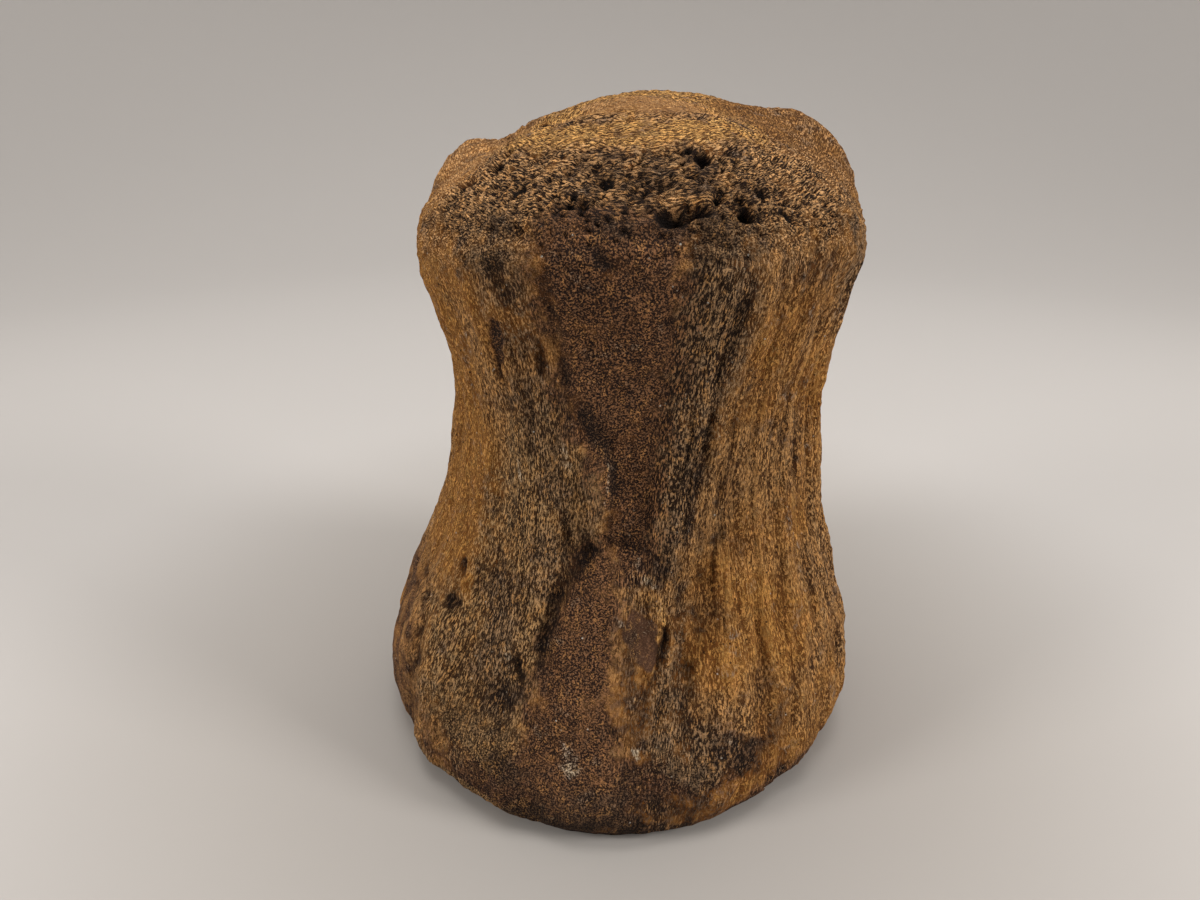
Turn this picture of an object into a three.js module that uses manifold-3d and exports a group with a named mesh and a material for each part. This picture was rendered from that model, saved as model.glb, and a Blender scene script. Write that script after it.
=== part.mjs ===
// A fossil hadrosaur vertebra: the spool-shaped body of one bone of the spine, weathered and stained, standing
// on end. The arch over the nerve canal is lost. The front shows the floor of the canal, shaped like an
// hourglass, between the two rough scars where the arch stood. The back is the bone's underside, with a shallow
// groove between two low ridges that run up to the lumps at the far corners of the head face.
//
// Frame, in millimetres: +Z up, along the bone. -Y is the side of the canal, which faces the viewer, and +X is
// the viewer's right. The origin is on the surface that the bone stands on, under the middle of its foot.
import * as THREE from "three";
import { mergeVertices } from "three/addons/utils/BufferGeometryUtils.js";
import Module from "manifold-3d";

// The flank at each height: how far the bone reaches from its axis to the right, back, left and front, how far
// the axis lies to the right of the origin, and how square the section is (2 is an ellipse).
const FLANK = [
  { z: 0, right: 38.6, back: 40, left: 38.6, front: 45.2, axis: 0, square: 1.95 },
  { z: 2.5, right: 41.6, back: 43.4, left: 41.6, front: 47, axis: 0, square: 1.95 },
  { z: 8, right: 43.8, back: 45.4, left: 43.8, front: 45.8, axis: 0, square: 1.95 },
  { z: 14, right: 43.6, back: 44.6, left: 42.8, front: 42.8, axis: 0, square: 2.05 },
  { z: 22, right: 41.4, back: 41, left: 39.8, front: 39.6, axis: 0.5, square: 2.2 },
  { z: 32, right: 37.5, back: 35.8, left: 36, front: 35, axis: 1.4, square: 2.2 },
  { z: 44, right: 33.8, back: 31.4, left: 32.3, front: 31.4, axis: 2.1, square: 2.2 },
  { z: 58, right: 31.8, back: 29.5, left: 30.5, front: 29.8, axis: 2.5, square: 2.2 },
  { z: 70, right: 32.2, back: 31, left: 31.5, front: 31, axis: 2.6, square: 2.2 },
  { z: 80, right: 34.2, back: 34, left: 34, front: 33.4, axis: 2.7, square: 2.2 },
  { z: 88, right: 36.2, back: 36.6, left: 35.2, front: 35.8, axis: 2.8, square: 2.3 },
  { z: 95, right: 36.2, back: 36.8, left: 34.6, front: 35.8, axis: 3, square: 2.3 },
  { z: 104, right: 30, back: 33, left: 27, front: 31, axis: 3.2, square: 2.25 },
];

// The head face towards each side: the height of its outer edge, the height of its crest, and how far out the
// crest lies, as a share of the way to the edge. Its middle is the pole of the grid.
const HEAD = {
  edge: { right: 92, back: 98, left: 91.5, front: 94 },
  crest: { right: 104.5, back: 107.4, left: 103.5, front: 107.2 },
  reach: { right: 0.35, back: 0.6, left: 0.3, front: 0.12 },
  middle: { x: 3, z: 107 },
};

// Lumps and notches that stand on the head face: where, how wide and how high.
const HEAD_LUMPS = [
  { name: "far right lobe", x: 36.5, y: 16, wide: 10.5, rise: 6.6 },
  { name: "far left lobe", x: -30, y: 20, wide: 9, rise: 7 },
  { name: "notch beside the left lobe", x: -16.5, y: 26, wide: 8.5, rise: -6.8 },
  { name: "worn left shoulder", x: -18, y: 4, wide: 9, rise: -1.6 },
];

// The worn edge of the head face is rounded: how far down the flank, and how far in.
const EDGE_ROUNDING = { tall: 7, inset: 1.9 };

// The sole is a flat worn ring, from this share of its outline outwards, around a shallow dish.
const SOLE_FLAT = 0.68;
const SOLE_DISH = 3.2;

// Broad swellings of the flank: the direction, in degrees from the right by way of the back, the height, the
// spread in degrees and in millimetres, and the rise.
const SWELLINGS = [
  { name: "right head corner", turn: 34, z: 99, degrees: 26, tall: 13, rise: 6.5 },
  { name: "left head corner", turn: 142, z: 94, degrees: 20, tall: 12, rise: 5 },
  { name: "left knob", turn: 174, z: 72.5, degrees: 9, tall: 3.6, rise: 2.2 },
  { name: "left of the foot", turn: 212, z: 20, degrees: 14, tall: 9, rise: 1.6 },
  { name: "hollow under the left scar", turn: 239, z: 22, degrees: 9, tall: 6, rise: -1.8 },
];

// The canal floor on the front at each height: its middle, its half width and how deep it lies. Below the waist
// it turns into a smooth tongue, which stands proud. Its banks slope from the first to the second share of that
// half width.
const CANAL_BANK = { from: 0.6, to: 1.15 };
const CANAL = [
  { z: 0, middle: 0, half: 12, deep: 0 },
  { z: 14, middle: -1, half: 10.5, deep: -0.4 },
  { z: 26, middle: -2.5, half: 8.5, deep: -1 },
  { z: 36, middle: -2.5, half: 7.5, deep: -0.8 },
  { z: 41, middle: -0.5, half: 6, deep: 0.2 },
  { z: 46, middle: 2.8, half: 4, deep: 1.3 },
  { z: 53, middle: 3.6, half: 4, deep: 2 },
  { z: 60, middle: 3, half: 6.3, deep: 2.1 },
  { z: 70, middle: 2.2, half: 9.5, deep: 1.8 },
  { z: 84, middle: 2.5, half: 12.5, deep: 1.2 },
  { z: 94, middle: 3, half: 14, deep: 0.2 },
];

// Long narrow forms on the front and on the back: the path as [x, z] points, how wide and how high they stand.
const FRONT_STROKES = [
  { name: "left scar", path: [[-17, 87], [-14, 66], [-11.5, 54], [-15, 36], [-17, 27]], wide: 4, rise: 1.1 },
  { name: "right scar", path: [[18, 87], [13, 66], [9.5, 54], [10, 44]], wide: 3.6, rise: 1.1 },
  { name: "lip of the left scar", path: [[-7, 65], [-3.6, 60], [-3, 54], [-3.6, 48]], wide: 2.6, rise: 1.3 },
  { name: "groove along the left scar", path: [[-11, 84], [-9.4, 76], [-8.8, 65]], wide: 1.7, rise: -1.2 },
  { name: "step over the tongue", path: [[-0.5, 46], [-5.5, 45], [-10, 41.5], [-11.5, 31]], wide: 2, rise: -1.7 },
  { name: "rib beside the leaf hollow", path: [[6.2, 37], [8.4, 32], [5.4, 26], [3.6, 20]], wide: 1.6, rise: 0.9 },
  { name: "groove beside the rib", path: [[10, 31], [7.8, 25], [6.2, 19]], wide: 1.6, rise: -1.2 },
  { name: "long right groove", path: [[11.8, 44], [12.2, 33], [11.2, 25], [12.6, 13]], wide: 1.6, rise: -1.1 },
  { name: "edge of the left sheet", path: [[-32, 33], [-33, 24], [-34.5, 17], [-38, 7]], wide: 1.8, rise: -0.9 },
];

const BACK_STROKES = [
  { name: "groove of the underside", path: [[2, 94], [2.6, 70], [2.4, 42], [0, 12]], wide: 6, rise: -2.4 },
  { name: "right ridge", path: [[27, 98], [17, 80], [12.5, 58], [12, 38], [17, 14]], wide: 4.6, rise: 1.7 },
  { name: "left ridge", path: [[-24, 95], [-13, 80], [-7.5, 58], [-7.5, 38], [-14, 14]], wide: 4.6, rise: 1.7 },
];

// How the carved forms fade out where they would run round to the sides: shares of a full turn to the front.
const CARVING_FADE = { from: 0.1, full: 0.45 };

// Pits and holes: the direction in degrees, the height, and the width, height and depth of the hollow.
const PITS = [
  { name: "large rim pit", turn: 276.7, z: 95, wide: 5.6, tall: 2.6, deep: 2.6 },
  { name: "small rim pit", turn: 290, z: 95, wide: 3.4, tall: 2.4, deep: 2.2 },
  { name: "upper rim pit", turn: 287.5, z: 101, wide: 3.2, tall: 2.2, deep: 1.8 },
  { name: "left rim pit", turn: 226.6, z: 100, wide: 3.4, tall: 2, deep: 1.6 },
  { name: "slot on the left", turn: 232, z: 74, wide: 1.8, tall: 6.4, deep: 1.8 },
  { name: "leaf hollow", turn: 272.6, z: 30, wide: 4.6, tall: 10, deep: 1.5 },
  { name: "hole above the spot", turn: 225, z: 36, wide: 2.6, tall: 3.2, deep: 1.6 },
  { name: "hole below the spot", turn: 222.5, z: 31.5, wide: 2.2, tall: 2.6, deep: 1.4 },
  { name: "vessel hole in the right flank", turn: 22, z: 55, wide: 2.6, tall: 4.4, deep: 2.4 },
  { name: "vessel hole in the left flank", turn: 160, z: 49, wide: 2.4, tall: 4, deep: 2.2 },
  { name: "upper vessel hole behind", turn: 87, z: 62, wide: 3, tall: 5, deep: 2.6 },
  { name: "lower vessel hole behind", turn: 94, z: 50, wide: 2.6, tall: 4.2, deep: 2.4 },
];
const PIT_FACETS = { around: 8, rings: 5 };

// The fibres of the bone: coarse and fine ridges around it, how long each runs, how high they stand on each
// side, what is left of them in the canal, and over what height they fade towards the foot and the head.
const FIBRES = {
  coarse: { around: 44, share: 0.6, seed: 1 },
  fine: { around: 66, share: 0.4, seed: 2 },
  length: 27,
  rise: { right: 1.9, back: 1.5, left: 1.3, front: 1.5 },
  inCanal: 0.25,
  fade: { foot: 7, edge: 9 },
};

// The lumps of the whole skin, of the rough rim of the head, and of the chipped foot.
const SKIN_LUMPS = { around: 17, length: 13, rise: 0.55, seed: 3 };
const HEAD_GRAIN = { size: 5.2, rise: 1.1, from: 0.3, full: 0.7, seed: 4 };
const FOOT_CHIPS = { around: 33, tall: 6, top: 12, rise: 1.2, seed: 5 };

// The grid of the skin: spokes around, closer together on the front, and rings from the head to the sole,
// closer together at the head's edge and above the foot.
const AROUND = 128;
const FRONT_CROWDING = 0.22;
const HEAD_RINGS = 10;
const HEAD_CROWDING = 0.8;
const FLANK_RINGS = 21;
const FOOT_CROWDING = 1.15;
const SOLE_RINGS = 4;

const FULL_TURN = 2 * Math.PI;
const SIDES = ["right", "back", "left", "front"];
const { degToRad, euclideanModulo, lerp, smoothstep } = THREE.MathUtils;

function curveOf(levels, keys) {
  return new THREE.CubicInterpolant(
    levels.map((level) => level.z),
    levels.flatMap((level) => keys.map((key) => level[key])),
    keys.length,
  );
}

const flankCurve = curveOf(FLANK, [...SIDES, "axis", "square"]);
const canalCurve = curveOf(CANAL, ["middle", "half", "deep"]);

function flankLevel(z) {
  const [right, back, left, front, axis, square] = flankCurve.evaluate(z);
  return { right, back, left, front, axis, square };
}

// A fixed random number between -1 and 1 for each cell of a lattice.
const SCATTER = { i: 127.1, j: 311.7, seed: 74.7, size: 43758.5453 };

function cellValue(i, j, seed) {
  const wave = Math.sin(i * SCATTER.i + j * SCATTER.j + seed * SCATTER.seed) * SCATTER.size;
  return 2 * (wave - Math.floor(wave)) - 1;
}

// Smooth noise on that lattice.
function noise(u, v, seed, columnOf = (i) => i) {
  const j = Math.floor(v);
  const left = columnOf(Math.floor(u));
  const right = columnOf(Math.floor(u) + 1);
  const across = smoothstep(u - Math.floor(u), 0, 1);
  const low = lerp(cellValue(left, j, seed), cellValue(right, j, seed), across);
  const high = lerp(cellValue(left, j + 1, seed), cellValue(right, j + 1, seed), across);
  return lerp(low, high, smoothstep(v - j, 0, 1));
}

// The same around the bone, in cells of one width that close up after a full turn.
function noiseAround(turn, height, { around, seed }) {
  return noise(turn * around, height, seed, (i) => euclideanModulo(i, around));
}

// A measure that each side has, mixed for any direction.
function mixOfSides(angle, { right, back, left, front }) {
  const c = Math.cos(angle);
  const s = Math.sin(angle);
  return (c >= 0 ? right : left) * c * c + (s >= 0 ? back : front) * s * s;
}

// How far the plain section reaches in one direction: a superellipse, with its own half axis on each side.
function sectionRadius(level, angle) {
  const c = Math.cos(angle);
  const s = Math.sin(angle);
  const across = Math.abs(c / (c >= 0 ? level.right : level.left)) ** level.square;
  const along = Math.abs(s / (s >= 0 ? level.back : level.front)) ** level.square;
  return (across + along) ** (-1 / level.square);
}

function swelling(angle, z) {
  return SWELLINGS.reduce((sum, s) => {
    const off = angle - degToRad(s.turn);
    const a = Math.atan2(Math.sin(off), Math.cos(off)) / degToRad(s.degrees);
    const h = (z - s.z) / s.tall;
    return sum + s.rise * Math.exp(-a * a - h * h);
  }, 0);
}

function distanceToPath(path, x, z) {
  const here = new THREE.Vector3(x, z, 0);
  const points = path.map(([px, pz]) => new THREE.Vector3(px, pz, 0));
  const nearest = new THREE.Vector3();
  const distances = points.slice(1).map((end, k) => {
    new THREE.Line3(points[k], end).closestPointToPoint(here, true, nearest);
    return nearest.distanceTo(here);
  });
  return Math.min(...distances);
}

function strokes(list, x, z) {
  return list.reduce((sum, stroke) => {
    const d = distanceToPath(stroke.path, x, z) / stroke.wide;
    return sum + stroke.rise * Math.exp(-d * d);
  }, 0);
}

// How much a place belongs to the canal floor or the tongue below it, from 0 to 1, and how deep it lies there.
function canalAt(x, z) {
  const [middle, half, deep] = canalCurve.evaluate(z);
  const share = 1 - smoothstep(Math.abs(x - middle) / half, CANAL_BANK.from, CANAL_BANK.to);
  return { share, deep: deep * share };
}

// A spoke of the grid has its share of a turn, its direction, and the height where it meets the head face.
function spokeAt(turn) {
  const even = FULL_TURN * turn;
  const angle = even - FRONT_CROWDING * Math.cos(even);
  const edge = mixOfSides(angle, HEAD.edge);
  const { x, y } = flankPoint({ turn, angle, edge }, edge);
  return { turn, angle, edge: edge + headLumps(x, y, 1) };
}

function fibres({ turn, angle, edge }, z) {
  const { coarse, fine, length, rise, fade } = FIBRES;
  const height = mixOfSides(angle, rise) * smoothstep(z, 0, fade.foot) * smoothstep(edge - z, 0, fade.edge);
  const along = z / length;
  return height * (coarse.share * noiseAround(turn, along, coarse) + fine.share * noiseAround(turn, along, fine));
}

// The flank without its fibres and its carving.
function plainRadius({ turn, angle, edge }, z) {
  const lumps = SKIN_LUMPS.rise * noiseAround(turn, z / SKIN_LUMPS.length, SKIN_LUMPS);
  const low = 1 - smoothstep(z, 0, FOOT_CHIPS.top);
  const chips = FOOT_CHIPS.rise * low * noiseAround(turn, z / FOOT_CHIPS.tall, FOOT_CHIPS);
  const rounding = EDGE_ROUNDING.inset * Math.max(0, 1 - (edge - z) / EDGE_ROUNDING.tall) ** 2;
  return sectionRadius(flankLevel(z), angle) + swelling(angle, z) + lumps + chips - rounding;
}

function carving(x, angle, z) {
  const toFront = smoothstep(-Math.sin(angle), CARVING_FADE.from, CARVING_FADE.full);
  const toBack = smoothstep(Math.sin(angle), CARVING_FADE.from, CARVING_FADE.full);
  return toFront * (strokes(FRONT_STROKES, x, z) - canalAt(x, z).deep) + toBack * strokes(BACK_STROKES, x, z);
}

function flankPoint(spoke, z) {
  const { angle } = spoke;
  const { axis } = flankLevel(z);
  const plain = plainRadius(spoke, z);
  const x = axis + plain * Math.cos(angle);
  const smooth = Math.sin(angle) < 0 ? canalAt(x, z).share : 0;
  const radius = plain + carving(x, angle, z) + fibres(spoke, z) * lerp(1, FIBRES.inCanal, smooth);
  return new THREE.Vector3(axis + radius * Math.cos(angle), radius * Math.sin(angle), z);
}

function headLumps(x, y, share) {
  const { size, rise, from, full, seed } = HEAD_GRAIN;
  const grain = rise * smoothstep(share, from, full) * noise(x / size, y / size, seed);
  return HEAD_LUMPS.reduce((sum, lump) => {
    const d = Math.hypot(x - lump.x, y - lump.y) / lump.wide;
    return sum + lump.rise * Math.exp(-d * d);
  }, grain);
}

// The head face: level with its middle as far as the crest, and falling from there to its edge.
function headPoint(spoke, share) {
  const { angle } = spoke;
  const edge = flankPoint(spoke, spoke.edge);
  const plainEdge = edge.z - headLumps(edge.x, edge.y, 1);
  const crest = mixOfSides(angle, HEAD.crest);
  const reach = mixOfSides(angle, HEAD.reach);
  const x = lerp(HEAD.middle.x, edge.x, share);
  const y = edge.y * share;
  const inner = lerp(HEAD.middle.z, crest, smoothstep(share, 0, reach));
  const fall = (crest - plainEdge) * Math.max(0, (share - reach) / (1 - reach)) ** 2;
  return new THREE.Vector3(x, y, inner - fall + headLumps(x, y, share));
}

function solePoint(spoke, share) {
  const edge = flankPoint(spoke, 0);
  const dish = SOLE_DISH * (1 - smoothstep(share, 0, SOLE_FLAT));
  return new THREE.Vector3(edge.x * share, edge.y * share, dish);
}

function skinPoint(spoke, ring) {
  if (ring <= HEAD_RINGS) return headPoint(spoke, (ring / HEAD_RINGS) ** HEAD_CROWDING);
  const down = (ring - HEAD_RINGS) / FLANK_RINGS;
  if (down <= 1) return flankPoint(spoke, spoke.edge * (1 - down) ** FOOT_CROWDING);
  return solePoint(spoke, 1 - (ring - HEAD_RINGS - FLANK_RINGS) / SOLE_RINGS);
}

// A sphere's grid, each point moved to its place on the skin: poles at the middle of the head and of the sole.
function skinGeometry() {
  const skin = new THREE.SphereGeometry(1, AROUND, HEAD_RINGS + FLANK_RINGS + SOLE_RINGS);
  const position = skin.getAttribute("position");
  const spokes = Array.from({ length: AROUND }, (_, k) => spokeAt(k / AROUND));
  const columns = AROUND + 1;
  for (let i = 0; i < position.count; i += 1) {
    const ring = Math.floor(i / columns);
    position.setXYZ(i, ...skinPoint(spokes[(i % columns) % AROUND], ring));
  }
  return merged(skin);
}

function merged(geometry) {
  geometry.deleteAttribute("normal");
  geometry.deleteAttribute("uv");
  return mergeVertices(geometry, 1e-4);
}

// An egg-shaped hollow, sunk into the skin where a ray towards the bone's axis meets it.
function pitGeometry(pit, skin) {
  const angle = degToRad(pit.turn);
  const outward = new THREE.Vector3(Math.cos(angle), Math.sin(angle), 0);
  const axis = new THREE.Vector3(flankLevel(pit.z).axis, 0, pit.z);
  const outside = axis.clone().addScaledVector(outward, 100);
  const [hit] = new THREE.Raycaster(outside, outward.clone().negate()).intersectObject(new THREE.Mesh(skin));
  const egg = new THREE.SphereGeometry(1, PIT_FACETS.around, PIT_FACETS.rings);
  egg.rotateX(Math.PI / 2);
  egg.scale(pit.deep, pit.wide / 2, pit.tall / 2);
  egg.rotateZ(angle);
  egg.translate(...hit.point);
  return merged(egg);
}

const wasm = await Module();
wasm.setup();

function toSolid(geometry) {
  const vertProperties = new Float32Array(geometry.getAttribute("position").array);
  const triVerts = new Uint32Array(geometry.getIndex().array);
  return new wasm.Manifold(new wasm.Mesh({ numProp: 3, vertProperties, triVerts }));
}

function toGeometry(solid) {
  const { vertProperties, triVerts } = solid.getMesh();
  const geometry = new THREE.BufferGeometry();
  geometry.setAttribute("position", new THREE.BufferAttribute(vertProperties, 3));
  geometry.setIndex(new THREE.BufferAttribute(triVerts, 1));
  return geometry;
}

// Moves the bone so that the origin lies under the middle of its bounding box.
function centred(geometry) {
  geometry.computeBoundingBox();
  const { x, y } = geometry.boundingBox.getCenter(new THREE.Vector3());
  return geometry.translate(-x, -y, 0);
}

const skin = skinGeometry();
const pitted = PITS.reduce((solid, pit) => solid.subtract(toSolid(pitGeometry(pit, skin))), toSolid(skin));

const bone = new THREE.Mesh(
  centred(toGeometry(pitted)),
  new THREE.MeshStandardMaterial({ color: 0x8a6238, roughness: 0.9, metalness: 0 }),
);
bone.name = "centrum";

const vertebra = new THREE.Group();
vertebra.add(bone);
export default vertebra;
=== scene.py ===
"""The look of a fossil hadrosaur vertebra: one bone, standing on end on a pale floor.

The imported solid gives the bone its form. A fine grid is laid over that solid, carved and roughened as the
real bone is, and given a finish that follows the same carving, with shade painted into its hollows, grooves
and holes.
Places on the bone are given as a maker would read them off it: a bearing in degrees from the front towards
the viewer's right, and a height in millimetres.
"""
import logging
import math
from collections.abc import Callable
from dataclasses import dataclass, field
from enum import Enum

import bpy
import numpy as np
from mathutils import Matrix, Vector, noise

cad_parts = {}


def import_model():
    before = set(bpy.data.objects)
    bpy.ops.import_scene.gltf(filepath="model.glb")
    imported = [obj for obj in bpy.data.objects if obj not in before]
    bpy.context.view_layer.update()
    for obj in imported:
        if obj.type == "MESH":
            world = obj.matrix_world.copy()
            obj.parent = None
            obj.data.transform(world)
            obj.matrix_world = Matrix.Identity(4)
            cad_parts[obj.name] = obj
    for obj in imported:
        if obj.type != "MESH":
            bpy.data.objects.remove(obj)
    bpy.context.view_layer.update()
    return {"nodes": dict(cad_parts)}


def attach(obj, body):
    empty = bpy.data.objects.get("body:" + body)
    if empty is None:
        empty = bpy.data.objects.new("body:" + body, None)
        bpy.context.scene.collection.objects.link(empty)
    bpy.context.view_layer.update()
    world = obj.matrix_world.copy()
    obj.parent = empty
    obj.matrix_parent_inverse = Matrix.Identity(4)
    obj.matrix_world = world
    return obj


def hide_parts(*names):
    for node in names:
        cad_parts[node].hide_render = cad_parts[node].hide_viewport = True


LOG = logging.getLogger("vertebra")
MM = 0.001
NODE = "centrum"
REST_PLACE = "rest_place"
FIBRE_PLACE = "fibre_place"
RIM_PLACE = "rim_place"
HEIGHT = "relief_height"

Socket = bpy.types.NodeSocket
Number = float | Socket
Colour = tuple[float, float, float]
Point = tuple[float, float, float]
Course = tuple[Point, ...]
Table = tuple[tuple[float, ...], tuple[float, ...]]


class Zone(str, Enum):
    """The kinds of surface on the bone. Each is an attribute of the mesh that runs from 0 to 1."""

    FIBRE = "fibre"
    SCAR = "scar"
    PEPPER = "pepper"
    CANAL = "canal"
    FACET = "facet"
    SPONGE = "sponge"
    GOLD = "gold"
    PALE = "pale"
    ORANGE = "orange"
    RUST = "rust"
    # The foot, darker towards the floor: a dark stain, with painted shade low down.
    FOOT = "foot"
    # Dark stains, and painted shade in sunk grooves, creases and recesses.
    STAIN_AND_SHADE = "stain"
    # Near-black painted shade inside holes and pits, and along the bottom edge of the foot.
    HOLE_SHADE = "hole"
    CRUST = "crust"


@dataclass(frozen=True)
class Mark:
    """A soft-edged mark on the flank, drawn along a path.

    Args:
        path: Points of bearing in degrees, height in mm and half width in mm.
        zone: The kind of surface that it paints, or None where it only carves.
        strength: How fully it paints that zone, from 0 to 1.
        soft: The distance in mm over which it fades.
        rise: How high it stands in mm, less than 0 where it is sunk.
    """

    path: Course
    zone: Zone | None = None
    strength: float = 1.0
    soft: float = 2.0
    rise: float = 0.0


# Where a mark both sinks the skin and paints it dark, that dark is painted shade in its groove, crease or
# hole.
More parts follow.
